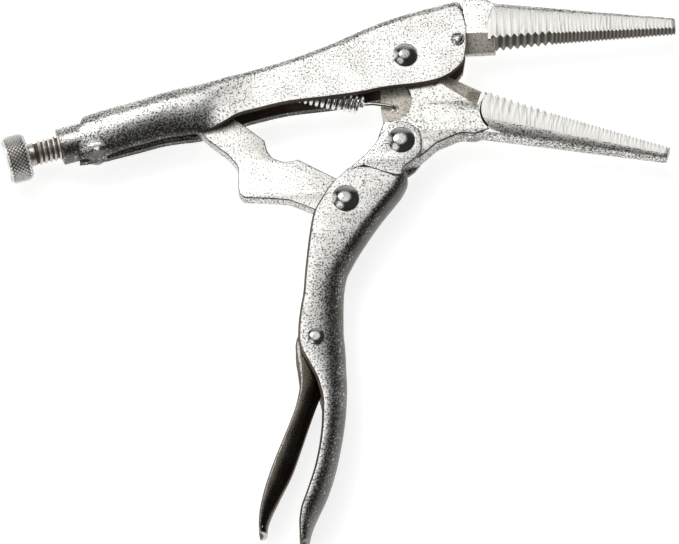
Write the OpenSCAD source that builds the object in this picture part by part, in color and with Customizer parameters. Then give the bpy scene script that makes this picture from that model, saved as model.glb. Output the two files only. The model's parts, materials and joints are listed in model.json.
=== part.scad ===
// Long-nose locking pliers, lying on their side, drawn with the jaws open.
// Sizes in millimetres. The jaw pivot is the datum of every outline; seat() moves
// the whole tool so that it stands on z = 0, centred over the origin.

/* [Handles] */
// Distance from the jaw pivot to the rear end of the screw collar
handle_len = 88.4; // [80:0.2:105]
// Distance from the handle pivot down to the tail of the movable handle
tail_len = 106.6; // [95:0.2:125]
// Outer width of the fixed handle over its grip
grip_w = 12.6; // [11.4:0.1:14]
// Outer width of the movable handle over its grip
tail_w = 11.4; // [10.6:0.1:13]
// Thickness of the pressed handle sheet
sheet_t = 1.8; // [1.4:0.1:2.2]
// Thickness of the pressed release lever sheet
lever_t = 1.5; // [1.1:0.1:1.7]

/* [Jaws] */
// Length of each toothed blade
blade_len = 46.3; // [38:0.1:56]
// Thickness of a blade at its root
root_t = 8.8; // [8:0.1:9.6]
// Thickness of a blade at its tip
tip_t = 4.4; // [3.6:0.1:6]
// Height of a blade at its root
root_h = 10.8; // [9.6:0.1:12]
// Height of a blade at its tip
tip_h = 3.3; // [2.6:0.1:4.5]
// Thickness of the jaw bodies held between sheet walls
body_t = 6.2; // [5.4:0.1:7]
// Pitch of the coarse teeth
coarse_pitch = 1.75; // [1.4:0.05:2.2]
// Pitch of the fine teeth
fine_pitch = 0.93; // [0.8:0.01:1.2]

/* [Linkage] */
// Distance from the jaw pivot to the handle pivot
jaw_arm = 22.7; // [21:0.1:24]
// Distance from the handle pivot to the link pivot
handle_arm = 20.7; // [19:0.1:22]
// Distance from the link pivot to the centre of the link's rounded end
link_len = 45.3; // [43:0.1:48]
// Thickness of the toggle link
link_t = 4; // [3:0.1:4.6]

/* [Rivets] */
// Shank diameter of the three linkage rivets
pin_d = 4.4; // [3.6:0.1:5]
// Shank diameter of the lever rivet
lever_pin_d = 2.8; // [2.2:0.1:3.2]
// Head diameter of the jaw rivet
jaw_head_d = 6.2; // [5.4:0.1:7.4]
// Head diameter of the handle and link rivets
link_head_d = 6.8; // [5.6:0.1:7.6]
// Head diameter of the lever rivet
lever_head_d = 4.2; // [3.6:0.1:5]

/* [Adjuster] */
// Outer diameter of the screw thread
screw_d = 6.35; // [5.8:0.05:6.6]
// Pitch of the screw thread
screw_pitch = 1.27; // [1:0.01:1.5]
// Diameter of the knurled knob
knob_d = 12.2; // [11:0.1:12.6]
// Width of the knurled knob
knob_w = 6; // [5:0.1:8]
// Number of grooves round the knob
knob_grooves = 30; // [20:2:40]

/* [Spring] */
// Wire diameter of the return spring
wire_d = 1; // [0.8:0.05:1.2]
// Outer diameter of the return spring
coil_d = 5.4; // [4.6:0.1:5.6]

/* [Hidden] */
$fn = 48;
e = 0.01;
// clearances: beside a moving plate, round a turning pin, round the screw
side_gap = 0.1;
pin_gap = 0.05;
screw_gap = 0.05;
slot_gap = 0.4;
// half widths of the two handles at the pivots and over the grips
front_hw = body_t / 2 + side_gap + sheet_t;
grip_hw = grip_w / 2;
tail_hw = tail_w / 2;
lever_hw = tail_hw - sheet_t - side_gap;
// height that a sheet wall loses where the back of the handle slopes
web_drop = sheet_t * 1.08;
// the screw axis: its slope, its height over the jaw pivot, distances along it
slope = 16;
rise = 2.42;
along = [cos(slope), sin(slope)];
across = [-sin(slope), cos(slope)];
collar_r = screw_d / 2 + 1.45;
collar_len = 6.9;
collar_s = -handle_len;
body_s = collar_s + collar_len;
knob_s = collar_s - 11.1;
neck_len = 2.2;
// the four pivots and the link's rounded end, in the open pose
jaw_pin = [0, 0];
handle_pin = jaw_arm * [cos(-92.8), sin(-92.8)];
link_pin = handle_pin + handle_arm * [cos(-132), sin(-132)];
lever_pin = handle_pin + [-21.3, -52.1];
pin_off = link_pin * across - rise;
pin_s = link_pin * along;
link_s = pin_s - sqrt(link_len * link_len - pin_off * pin_off);
link_end = on_axis(link_s, 0);
link_end_r = 3.65;
// the link's end comes this much further back while the tool closes
end_travel = 6.6;
tip_s = link_s - end_travel - link_end_r - 0.3;
// rivet heads stand out as far as the widest part of the grip
jaw_head_h = grip_hw - front_hw;
lever_head_h = grip_hw - tail_hw;
// jaw roots and blades
cutter_y = 1.6;
root_x = 15;
blade_x = 21;
root_top = 15.4;
block_hw = root_t / 2 + 0.4;
fixed_root = [blade_x, 4.6];
fixed_a = 4;
moving_root = [21.2, -10];
moving_a = -17.5;
coarse_n = 9;
knee = 0.35;
blade_tip = fixed_root + blade_len * [cos(fixed_a), sin(fixed_a)];
moving_tip = moving_root + blade_len * [cos(moving_a), sin(moving_a)];
// the spring's two anchor points and the plain tab that holds its hook
hook = [-2.6, -12.9];
lug = [-33.6, -6.3];
tab_hw = 1.2;
// extents of the tool, for seating it over the origin
knob_c = on_axis(knob_s, 0);
knob_edge = 0.8;
min_x = knob_c[0] - knob_w / 2 * cos(slope) - (knob_d / 2 - knob_edge) * sin(slope);
max_x = blade_tip[0];
max_y = root_top;
min_y = handle_pin[1] - tail_len;

// Point s along the screw axis and n across it.
function on_axis(s, n) = across * (rise + n) + along * s;

// Stands the tool on z = 0 over the origin.
module seat() {
    translate([-(min_x + max_x) / 2, -(min_y + max_y) / 2, grip_hw])
        children();
}

// Flat plate of a given thickness, centred on the tool's mid-plane.
module plate(t) {
    translate([0, 0, -t / 2])
        linear_extrude(height = t)
            children();
}

// Pair of sheet walls between two distances from the mid-plane.
module walls(inner, outer) {
    for (side = [-1, 1])
        translate([0, 0, side * (inner + outer) / 2 - (outer - inner) / 2])
            linear_extrude(height = outer - inner)
                children();
}

// Frame whose x axis runs along the screw axis.
module on_screw(s) {
    translate([on_axis(s, 0)[0], on_axis(s, 0)[1], 0])
        rotate([0, 0, slope])
            children();
}

// Round bar of radius r from point a to point b.
module rod(a, b, r) {
    d = b - a;
    translate(a)
        rotate([0, acos(d[2] / norm(d)), atan2(d[1], d[0])])
            cylinder(h = norm(d), r = r, $fn = 24);
}

// Cylinder through the whole tool along z.
module pin(p, r, hw) {
    translate([p[0], p[1], -hw])
        cylinder(h = 2 * hw, r = r);
}

// Solid through rings of points with the same number of points in each.
module loft(rings) {
    n = len(rings[0]);
    m = len(rings);
    sides = [for (i = [0:m - 2], j = [0:n - 1])
        each [[i * n + j, (i + 1) * n + j, (i + 1) * n + (j + 1) % n],
              [i * n + j, (i + 1) * n + (j + 1) % n, i * n + (j + 1) % n]]];
    polyhedron(
        points = [for (ring = rings) each ring],
        faces = concat(
            [[for (j = [0:n - 1]) j]],
            sides,
            [[for (j = [n - 1:-1:0]) (m - 1) * n + j]]));
}

// Ring of a channel across x: closed top, cut corners above and below.
function ring_x(x, top, bottom, hw, c, d) = [
    [x, bottom, hw - d], [x, bottom + d, hw], [x, top - c, hw], [x, top, hw - c],
    [x, top, c - hw], [x, top - c, -hw], [x, bottom + d, -hw], [x, bottom, d - hw]];

// Ring of a channel across y: closed on the right, cut corners on both sides.
function ring_y(y, left, right, hw, c, d) = [
    [left, y, d - hw], [left + d, y, -hw], [right - c, y, -hw], [right, y, c - hw],
    [right, y, hw - c], [right - c, y, hw], [left + d, y, hw], [left, y, hw - d]];

// Fixed handle stations: x, back, lower edge, half width, corner cut, lower cut.
rear = on_axis(body_s, 0)[0];
handle_stations = [
    [root_x, 9.6, 3, front_hw, 0.6, 0.3],
    [14.5, 12.2, -1, front_hw, 1, 0.3],
    [13.2, 14.8, -2.8, front_hw, 1.6, 0.3],
    [12.6, 15.2, -3.3, front_hw, 1.8, 0.3],
    [7.7, 13.9, -6.4, front_hw, 1.8, 0.3],
    [3, 12.7, -7.4, front_hw, 1.8, 0.3],
    [-4.2, 10.3, -8.2, front_hw, 1.8, 0.3],
    [-11.3, 7.4, -9.6, front_hw, 1.8, 0.3],
    [-18.4, 4, -10.6, front_hw, 1.8, 0.3],
    [-27, 0.6, -11.7, front_hw, 1.8, 0.3],
    [-36.4, -2.4, -13.8, front_hw + 0.2, 1.8, 0.3],
    [-41.7, -4, -15.5, front_hw + 0.5, 2, 0.6],
    [-45.2, -4.9, -17.5, (front_hw + grip_hw) / 2 + 0.2, 2.2, 1.2],
    [-49.3, -5.9, -19.2, grip_hw, 2.4, 1.8],
    [-55.6, -7.3, -21.4, grip_hw, 2.4, 2.4],
    [(rear - 55.6) / 2, (rear - 55.6) / 2 * 0.29 + 9.2, (rear - 55.6) / 2 * 0.24 - 7.8,
     grip_hw, 2.4, 2.6],
    [rear - 3.6, (rear - 3.6) * 0.29 + 9.2, (rear - 3.6) * 0.24 - 7.8, grip_hw - 0.8, 2.4, 2.6]];

// Movable handle stations: distance below the handle pivot as a share of the tail,
// open edge, back, half width, corner cut.
tail_stations = [
    [7.8, -14.6, 0.1, front_hw, 1.4],
    [9.7, -17.1, 0.6, front_hw, 1.8],
    [13.1, -20, -1.6, front_hw, 2.2],
    [18.8, -22.3, -5.4, front_hw, 2.4],
    [24.9, -23.4, -9.5, front_hw + 0.2, 2.4],
    [30.9, -24.1, -13, front_hw + 0.4, 2.4],
    [35, -24.5, -14.8, tail_hw - 0.1, 2.4],
    [40.1, -24.9, -15.5, tail_hw, 2.4],
    [49.1, -26.1, -15.6, tail_hw, 2.4],
    [52.6, -26.2, -15.3, tail_hw, 2.4],
    [58.8, -23.8, -15, tail_hw, 2.4],
    [63.8, -21.5, -14.8, tail_hw, 2.4],
    [tail_len * 0.65, -20.4, -15, tail_hw, 2.4],
    [tail_len * 0.725, -20.7, -15.9, tail_hw, 2.2],
    [tail_len * 0.803, -22.2, -17.6, tail_hw, 2],
    [tail_len * 0.861, -24.1, -19.5, tail_hw - 0.1, 1.8],
    [tail_len * 0.915, -26, -22, tail_hw - 0.4, 1.5],
    [tail_len * 0.958, -26.2, -23.3, tail_hw - 0.8, 1.2],
    [tail_len, -25.4, -24.2, tail_hw - 1.4, 0.5]];

// Release lever stations: distance below the lever pivot, open edge, back,
// half width, corner cut.
lever_stations = [
    [-7.8, -20.7, -18, lever_hw - 0.6, 0.8],
    [-4.6, -22.8, -17.95, lever_hw, 1],
    [-2.6, -25.3, -17.9, lever_hw, 1],
    [0, -26.8, -17.9, lever_hw, 1],
    [3.2, -26.9, -17.9, lever_hw, 1],
    [7.4, -26.3, -18.4, lever_hw, 1],
    [12.6, -25.9, -21, lever_hw, 1],
    [20.1, -27.7, -23.4, lever_hw, 1],
    [27.1, -30.6, -25.7, lever_hw, 1.2],
    [34.6, -33.4, -28.2, lever_hw, 1.2],
    [41.5, -35.3, -31.6, lever_hw, 0.8],
    [47.3, -36.2, -34, lever_hw, 0.3],
    [50.4, -36, -34.3, lever_hw - 0.5, 0.2]];

// Pressed channel with a swaged collar at its rear end and a lug inside its back.
module fixed_handle() {
    color("silver") seat() {
        difference() {
            union() {
                difference() {
                    loft([for (s = handle_stations)
                        ring_x(s[0], s[1], s[2], s[3], s[4], s[5])]);
                    on_screw(body_s)
                        translate([-20, -20, -20])
                            cube([20, 40, 40]);
                }
                on_screw(collar_s)
                    rotate([0, 90, 0])
                        cylinder(h = collar_len + 2, r = collar_r);
            }
            handle_hollow();
            on_screw(collar_s - 1)
                rotate([0, 90, 0])
                    cylinder(h = 20, r = screw_d / 2 + screw_gap);
            pin(jaw_pin, pin_d / 2, 10);
            pin([13, 4.2], 1.75, 10);
        }
        spring_lug();
    }
}

// Inside of the fixed handle: open below in front, slotted below at the rear.
module handle_hollow() {
    front = [for (i = [0:13]) handle_stations[i]];
    back = [handle_stations[14], handle_stations[15]];
    loft(concat(
        [[for (p = ring_x(root_x + 1, 20, -20, front_hw - sheet_t, 0.8, 0.4)) p]],
        [ring_x(12.6 + e, 20, -20, front_hw - sheet_t, 0.8, 0.4)],
        [for (i = [3:13])
            ring_x(front[i][0], front[i][1] - web_drop, front[i][2] - 6,
                   front[i][3] - sheet_t, 0.8, 0.4)],
        [for (s = back)
            ring_x(s[0], s[1] - web_drop, s[2] + sheet_t, s[3] - sheet_t, 1.2, 1.8)],
        [ring_x(rear + 4, (rear + 4) * 0.29 + 9.2 - web_drop,
                (rear + 4) * 0.24 - 7.8 + sheet_t, grip_hw - sheet_t - 0.4, 1.2, 1.8)]));
    translate([rear + 4, -30, -link_t / 2 - slot_gap])
        cube([-44 - rear, 16, link_t + 2 * slot_gap]);
}

// Tab inside the back of the fixed handle, pierced for the spring.
module spring_lug() {
    difference() {
        plate(1.4)
            polygon([[-36.2, -4.0], [-31.2, -2.4], [-31.6, -6.8], [-33.6, -8], [-35.6, -7]]);
        pin(lug, wire_d / 2 + 0.25, 3);
    }
}

// Outline of the notched tooth line, from x = 0 along +x, cut d deep.
function notches(x0, y0, x1, y1, n, d) = [for (i = [0:n - 1])
    each [[x0 + (x1 - x0) * i / n, y0 + (y1 - y0) * i / n],
          [x0 + (x1 - x0) * (i + 0.5) / n, y0 + (y1 - y0) * (i + 0.5) / n + d]]];

// Long-nose blade: teeth face -y, the rounded back faces +y, the root is at x = 0.
module blade() {
    coarse = coarse_n * coarse_pitch;
    fine_n = floor((blade_len - coarse) / fine_pitch);
    difference() {
        loft([for (s = [[blade_len, tip_h, 2.5, tip_t / 2], [-0.6, root_h, 7, root_t / 2]])
            [[s[0], -1, s[3]], [s[0], s[2], s[3]],
             [s[0], s[2] + (s[1] - s[2]) * 0.6, s[3] * 0.82],
             [s[0], s[1], s[3] * 0.4], [s[0], s[1], -s[3] * 0.4],
             [s[0], s[2] + (s[1] - s[2]) * 0.6, -s[3] * 0.82],
             [s[0], s[2], -s[3]], [s[0], -1, -s[3]]]]);
        plate(20)
            polygon(concat(
                [[-2, -3], [-2, 0]],
                notches(0, 0, coarse, knee, coarse_n, 0.8),
                notches(coarse, knee, blade_len, 0, fine_n, 0.42),
                [[blade_len, 0], [blade_len + 2, 0], [blade_len + 2, -3]]));
    }
}

// Fixed jaw: tongue between the handle walls, wire-cutter block and blade.
module fixed_jaw() {
    color("silver") seat() {
        difference() {
            union() {
                plate(body_t + 2 * side_gap)
                    polygon([[root_x + 1, cutter_y + 0.1], [0, cutter_y], [-3.4, 5.6], [-4, 7.4],
                             [3, 10.1], [7.7, 11.5], [12.4, 12.8], [root_x + 1, 12.9]]);
                plate(2 * block_hw)
                    polygon([[root_x, cutter_y + 0.1], [root_x, root_top - 0.2],
                             [blade_x, root_top], [blade_x, cutter_y + 0.5]]);
                translate([fixed_root[0], fixed_root[1], 0])
                    rotate([0, 0, fixed_a])
                        blade();
            }
            pin(jaw_pin, 6.9, 10);
            cutter_bevels(root_x, blade_x, cutter_y);
        }
    }
}

// Two slopes that sharpen the lower edge of the cutter block.
module cutter_bevels(x0, x1, y) {
    for (side = [0, 1])
        mirror([0, 0, side])
            translate([x0 - e, 0, 0])
                rotate([90, 0, 90])
                    linear_extrude(height = x1 - x0 - 0.4)
                        polygon([[y - 1, 0.5], [y + 0.2, 0.5], [y + 3.6, block_hw],
                                 [y + 3.6, 12], [y - 1, 12]]);
}

// Plug welds that join each handle wall to the fixed jaw's tongue.
module jaw_weld_plugs() {
    color("silver") seat()
        for (side = [0, 1])
            mirror([0, 0, side])
                translate([13, 4.2, front_hw - sheet_t])
                    rotate_extrude()
                        polygon([[0, 0], [1.75, 0], [1.75, sheet_t + 0.05],
                                 [1.2, sheet_t + 0.35], [0, sheet_t + 0.45]]);
}

// Movable jaw: eye, lug for the handle, spring tab, cutter edge and blade.
module movable_jaw() {
    neck = [[1, 0.7], [19.4, -8.2], [20.6, -9.8], [22, -10.6], [22.4, -21.2], [19.6, -20.9],
            [13.5, -20.2], [7.8, -22.6], [3.6, -26.2], [-0.6, -28.5], [-5.4, -26.4],
            [-6.9, -21.6], [-5.4, -17.4], [-6.2, -12.5], [-6, -3]];
    color("silver") seat() {
        difference() {
            union() {
                plate(body_t) {
                    translate(jaw_pin)
                        circle(r = 6.4);
                    translate(handle_pin)
                        circle(r = 5.9);
                    polygon(neck);
                }
                difference() {
                    plate(root_t)
                        polygon([[19.4, -8.2], [20.6, -9.8], [22, -10.6], [22.4, -21.2],
                                 [19.6, -20.9], [15.6, -20.5], [13.6, -12], [15.6, -6.3]]);
                    pin(jaw_pin, 16.6, 10);
                }
                translate([moving_root[0], moving_root[1], 0])
                    rotate([0, 0, moving_a])
                        mirror([0, 1, 0])
                            blade();
            }
            neck_bevels();
            walls(tab_hw, 10)
                translate([-4.3, -11.3])
                    circle(r = 5.9);
            pin(hook, wire_d / 2 + 0.55, 10);
            pin(jaw_pin, pin_d / 2 + pin_gap, 10);
            pin(handle_pin, pin_d / 2 + pin_gap, 10);
        }
    }
}

// Two slopes that sharpen the upper edge of the movable jaw's neck.
module neck_bevels() {
    for (side = [0, 1])
        mirror([0, 0, side])
            rotate([0, 0, -25.8])
                translate([7.6, 0, 0])
                    rotate([90, 0, 90])
                        linear_extrude(height = 14.2)
                            polygon([[2.4, 0.5], [0.9, 0.5], [-2.6, root_t / 2 + 0.2],
                                     [-2.6, 12], [2.4, 12]]);
}

// Pressed channel: two ears at the handle pivot, a wall each side, a rounded back.
module movable_handle() {
    y0 = handle_pin[1];
    color("silver") seat() {
        difference() {
            union() {
                difference() {
                    loft([for (s = tail_stations) ring_y(y0 - s[0], s[1], s[2], s[3], s[4], 0.3)]);
                    tail_hollow(y0);
                }
                walls(front_hw - sheet_t, front_hw) {
                    translate(handle_pin)
                        circle(r = 5);
                    polygon([[-4.9, -19.5], [-7.6, -23.6], [-9.9, -26.3], [-14.5, -30.4],
                             [-16.6, -32.4], [-2, -33], [-0.9, -30.3], [-0.2, -29.6],
                             [3.2, -26.2]]);
                }
            }
            pin(handle_pin, pin_d / 2, 10);
            pin(link_pin, pin_d / 2, 10);
            pin(lever_pin, lever_pin_d / 2, 10);
        }
    }
}

// Inside of the movable handle, open towards the link.
module tail_hollow(y0) {
    last = len(tail_stations) - 1;
    loft(concat(
        [ring_y(y0 - 6, -40, -sheet_t + 0.1, front_hw - sheet_t, 0.4, 0.4)],
        [for (s = tail_stations)
            ring_y(y0 - s[0], -40, s[2] - web_drop * (1 - s[0] / tail_len * 0.4),
                   s[3] - sheet_t, 1, 0.4)],
        [ring_y(y0 - tail_len - 3, -40, tail_stations[last][2] - 1.2,
                tail_stations[last][3] - sheet_t, 1, 0.4)]));
}

// Toggle link: eye with raised bosses, heel, and an arm with a rounded end.
module toggle_link() {
    color("silver") seat() {
        difference() {
            union() {
                plate(link_t) {
                    translate(link_pin)
                        circle(r = 5.2);
                    translate(link_end)
                        circle(r = link_end_r);
                    polygon([link_pin + [-5, -1.4], link_pin + [-7.9, -2], [-28.8, -37.3],
                             [-33.6, -36.9], [-40, -36.6], [-41.2, -35.4], [-41.5, -33.8],
                             [-41.4, -29], [-42, -27.6], [-44.2, -25], [-48, -22],
                             link_end + [-2.15, -2.95], link_end + [2.35, 2.8],
                             [-38.5, -18.6], [-35, -21.4], [-34.4, -23.9], [-33.1, -26],
                             [-30.3, -27.1], [-28.1, -26.9], [-26.8, -26.4],
                             link_pin + [2.2, 4.7], link_pin + [3, -4.2], link_pin + [-1, -5.1]]);
                }
                pin(link_pin, 4.6, body_t / 2);
            }
            pin(link_pin, pin_d / 2 + pin_gap, 10);
        }
    }
}

// Pressed release lever: channel round its rivet, nose in front, curved tail.
module release_lever() {
    y0 = lever_pin[1];
    color("silver") seat() {
        difference() {
            loft([for (s = lever_stations) ring_y(y0 - s[0], s[1], s[2], s[3], s[4], 0.2)]);
            loft(concat(
                [ring_y(y0 + 9, -44, -18 - lever_t, lever_hw - 0.6 - lever_t, 0.4, 0.3)],
                [for (s = lever_stations)
                    ring_y(y0 - s[0], -44, s[2] - lever_t * 1.05, s[3] - lever_t, 0.6, 0.3)],
                [ring_y(y0 - 52, -44, -34.3 - lever_t, lever_hw - 0.5 - lever_t, 0.4, 0.3)]));
            pin(lever_pin, lever_pin_d / 2 + pin_gap, 10);
        }
    }
}

// Adjusting screw: spigot for the knob, neck, thread and flat tip.
module adjusting_screw() {
    r = screw_d / 2;
    root_r = r - 0.6 * screw_pitch;
    thread_s = knob_s + knob_w / 2 + neck_len;
    n = floor((tip_s - thread_s - 1) / screw_pitch);
    color("darkgray") seat()
        on_screw(0)
            rotate([0, 90, 0])
                rotate_extrude()
                    polygon(concat(
                        [[0, knob_s - knob_w / 2 + 1.5], [2, knob_s - knob_w / 2 + 1.5],
                         [2, knob_s + knob_w / 2], [r - 0.3, knob_s + knob_w / 2],
                         [r - 0.45, thread_s - 1.1], [r - 0.3, thread_s]],
                        [for (i = [0:n - 1])
                            each [[root_r, thread_s + (i + 0.2) * screw_pitch],
                                  [r, thread_s + (i + 0.62) * screw_pitch],
                                  [r, thread_s + (i + 0.78) * screw_pitch]]],
                        [[root_r, thread_s + (n + 0.2) * screw_pitch],
                         [root_r, tip_s - 0.5], [root_r - 0.5, tip_s], [0, tip_s]]));
}

// Knurled knob with a blind bore over the screw's spigot.
module adjusting_knob() {
    r = knob_d / 2;
    color("darkgray") seat()
        on_screw(knob_s - knob_w / 2)
            rotate([0, 90, 0])
                difference() {
                    rotate_extrude()
                        polygon([[0, 0], [r - knob_edge, 0], [r, knob_edge],
                                 [r, knob_w - knob_edge], [r - knob_edge, knob_w], [2.05, knob_w],
                                 [2.05, 1.45], [0, 1.45]]);
                    for (i = [1:knob_grooves])
                        rotate([0, 0, (i - 0.5) * 360 / knob_grooves])
                            translate([r, 0, -1])
                                rotate([0, 0, 45])
                                    cube([0.45, 0.45, 2 * knob_w], center = true);
                }
}

// Rivet with a domed head at each end.
module rivet(p, shank_r, head_r, face, head_h) {
    flat = head_h * 0.35;
    color("gainsboro") seat()
        translate([p[0], p[1], 0])
            rotate_extrude()
                polygon([[0, -face - head_h], [head_r * 0.45, -face - head_h * 0.92],
                         [head_r * 0.8, -face - head_h * 0.68], [head_r, -face - flat],
                         [head_r, -face], [shank_r, -face], [shank_r, face], [head_r, face],
                         [head_r, face + flat], [head_r * 0.8, face + head_h * 0.68],
                         [head_r * 0.45, face + head_h * 0.92], [0, face + head_h]]);
}

module jaw_pivot_rivet() {
    rivet(jaw_pin, pin_d / 2, jaw_head_d / 2, front_hw, jaw_head_h);
}

module handle_pivot_rivet() {
    rivet(handle_pin, pin_d / 2, link_head_d / 2, front_hw, jaw_head_h);
}

module link_pivot_rivet() {
    rivet(link_pin, pin_d / 2, link_head_d / 2, front_hw, jaw_head_h);
}

module lever_pivot_rivet() {
    rivet(lever_pin, lever_pin_d / 2, lever_head_d / 2, tail_hw, lever_head_h);
}

// Return spring: ribbed sleeve for the close-wound coil, and a hook at each end.
module return_spring() {
    r = coil_d / 2;
    span = norm(hook - lug);
    a = atan2(hook[1] - lug[1], hook[0] - lug[0]);
    start = 4;
    n = 13;
    step = (span - 12) / n;
    dir = (hook - lug) / span;
    p0 = lug + dir * (start + 0.4);
    p1 = lug + dir * (start + n * step - 0.4);
    color("gainsboro") seat() {
        translate([lug[0], lug[1], 0])
            rotate([0, 0, a])
                translate([start, 0, 0])
                    rotate([0, 90, 0])
                        rotate_extrude()
                            polygon(concat(
                                [[r - wire_d, 0]],
                                [for (i = [0:n - 1])
                                    each [[r - wire_d * 0.6, i * step], [r, (i + 0.3) * step],
                                          [r, (i + 0.7) * step]]],
                                [[r - wire_d * 0.6, n * step], [r - wire_d, n * step]]));
        rod([p1[0], p1[1], r - wire_d * 0.55], [hook[0], hook[1], tab_hw + 0.7], wire_d / 2);
        rod([hook[0], hook[1], tab_hw + 1.1], [hook[0], hook[1], -tab_hw - 0.8], wire_d / 2);
        rod([p0[0], p0[1], r - wire_d * 0.55], [lug[0], lug[1], 1.4], wire_d / 2);
        rod([lug[0], lug[1], 1.8], [lug[0], lug[1], -1.4], wire_d / 2);
    }
}

fixed_handle();
fixed_jaw();
jaw_weld_plugs();
movable_jaw();
movable_handle();
toggle_link();
release_lever();
adjusting_screw();
adjusting_knob();
jaw_pivot_rivet();
handle_pivot_rivet();
link_pivot_rivet();
lever_pivot_rivet();
return_spring();
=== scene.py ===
import json
import math
import bmesh
import bpy
import numpy as np
from mathutils import Matrix, Vector

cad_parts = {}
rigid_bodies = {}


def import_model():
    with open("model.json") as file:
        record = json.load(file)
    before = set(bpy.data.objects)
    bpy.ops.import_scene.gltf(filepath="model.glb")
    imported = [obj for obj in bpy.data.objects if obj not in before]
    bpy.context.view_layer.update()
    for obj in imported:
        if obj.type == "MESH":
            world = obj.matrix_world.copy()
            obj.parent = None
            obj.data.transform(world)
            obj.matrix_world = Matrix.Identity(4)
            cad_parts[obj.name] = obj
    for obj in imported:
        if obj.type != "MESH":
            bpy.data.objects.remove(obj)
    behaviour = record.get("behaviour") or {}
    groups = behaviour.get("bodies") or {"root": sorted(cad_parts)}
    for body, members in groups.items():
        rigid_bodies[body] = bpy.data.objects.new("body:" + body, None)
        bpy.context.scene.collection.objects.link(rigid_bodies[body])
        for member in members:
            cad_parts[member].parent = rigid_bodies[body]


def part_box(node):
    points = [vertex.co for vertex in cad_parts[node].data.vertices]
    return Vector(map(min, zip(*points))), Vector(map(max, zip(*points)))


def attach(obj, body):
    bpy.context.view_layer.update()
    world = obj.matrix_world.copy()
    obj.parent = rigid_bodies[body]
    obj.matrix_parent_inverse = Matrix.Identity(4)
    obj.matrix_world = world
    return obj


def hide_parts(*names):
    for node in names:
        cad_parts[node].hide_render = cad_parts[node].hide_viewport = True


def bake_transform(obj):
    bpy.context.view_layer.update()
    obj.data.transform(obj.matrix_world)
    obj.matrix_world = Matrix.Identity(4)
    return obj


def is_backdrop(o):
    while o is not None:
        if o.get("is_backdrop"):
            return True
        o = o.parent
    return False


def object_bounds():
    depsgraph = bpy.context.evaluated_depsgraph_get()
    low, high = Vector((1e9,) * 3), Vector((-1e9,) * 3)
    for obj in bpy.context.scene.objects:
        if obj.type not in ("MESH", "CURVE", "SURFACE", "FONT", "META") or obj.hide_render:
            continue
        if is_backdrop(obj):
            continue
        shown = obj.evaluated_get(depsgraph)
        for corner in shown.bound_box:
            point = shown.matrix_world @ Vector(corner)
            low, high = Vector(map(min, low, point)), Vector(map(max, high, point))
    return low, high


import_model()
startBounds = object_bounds()

# every outline below is in millimetres from the jaw pivot, on the tool's mid-plane
low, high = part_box("jaw_pivot_rivet")
datum = np.array((low + high) / 2)
slope = math.radians(16)
alongScrew = np.array([math.cos(slope), math.sin(slope), 0])
acrossScrew = np.array([-math.sin(slope), math.cos(slope), 0])
screwRise = 2.42


def onScrew(s, n=0.0, z=0.0):
    return acrossScrew * (screwRise + n) + alongScrew * s + np.array([0, 0, z])


def clearScene():
    for o in list(bpy.data.objects):
        if o.type in ("CAMERA", "LIGHT"):
            bpy.data.objects.remove(o)


clearScene()

# mesh helpers


def finishMesh(mesh, sharp=32):
    work = bmesh.new()
    work.from_mesh(mesh)
    bmesh.ops.remove_doubles(work, verts=work.verts, dist=2e-6)
    bmesh.ops.dissolve_degenerate(work, dist=1e-6, edges=work.edges)
    bmesh.ops.recalc_face_normals(work, faces=work.faces)
    work.to_mesh(mesh)
    work.free()
    mesh.shade_smooth()
    mesh.set_sharp_from_angle(angle=math.radians(sharp))


blank = [bpy.data.materials.new("blank" + str(i)) for i in range(4)]


def blankSlots(mesh):
    for material in blank[len(mesh.materials):]:
        mesh.materials.append(material)


def paintFaces(obj, index, test):
    # moves the faces whose centre (mm from the jaw pivot) and normal pass a test to another slot
    for face in obj.data.polygons:
        centre = (np.array(face.center) - datum) * 1000
        if test(centre, face.normal):
            face.material_index = index
    return obj


def makeObject(name, points, faces, sharp=32, second=()):
    verts = np.asarray(points, float) / 1000 + datum
    mesh = bpy.data.meshes.new(name)
    mesh.from_pydata(verts.tolist(), [], faces)
    blankSlots(mesh)
    for i in second:
        mesh.polygons[i].material_index = 1
    finishMesh(mesh, sharp)
    obj = bpy.data.objects.new(name, mesh)
    bpy.context.scene.collection.objects.link(obj)
    return obj


def bake(obj, sharp=32):
    bpy.context.view_layer.update()
    evaluated = obj.evaluated_get(bpy.context.evaluated_depsgraph_get())
    mesh = bpy.data.meshes.new_from_object(evaluated)
    obj.modifiers.clear()
    obj.data = mesh
    finishMesh(mesh, sharp)
    return obj


def cut(obj, *tools, sharp=32):
    for tool in tools:
        step = obj.modifiers.new("cut", "BOOLEAN")
        step.operation = "DIFFERENCE"
        step.solver = "EXACT"
        step.object = tool
    bake(obj, sharp)
    for tool in tools:
        bpy.data.objects.remove(tool)
    return obj


def join(name, *objs):
    work = bmesh.new()
    for o in objs:
        work.from_mesh(o.data)
    mesh = bpy.data.meshes.new(name)
    work.to_mesh(mesh)
    work.free()
    blankSlots(mesh)
    for o in objs:
        bpy.data.objects.remove(o)
    obj = bpy.data.objects.new(name, mesh)
    bpy.context.scene.collection.objects.link(obj)
    return obj


def smoothLine(table, count):
    # evenly spaced rows of a table, eased with a monotone-like cubic
    table = np.asarray(table, float)
    keys = table[:, 0]
    at = np.linspace(keys[0], keys[-1], count)
    return np.stack([at] + [easeColumn(keys, table[:, k], at) for k in range(1, table.shape[1])], 1)


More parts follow.
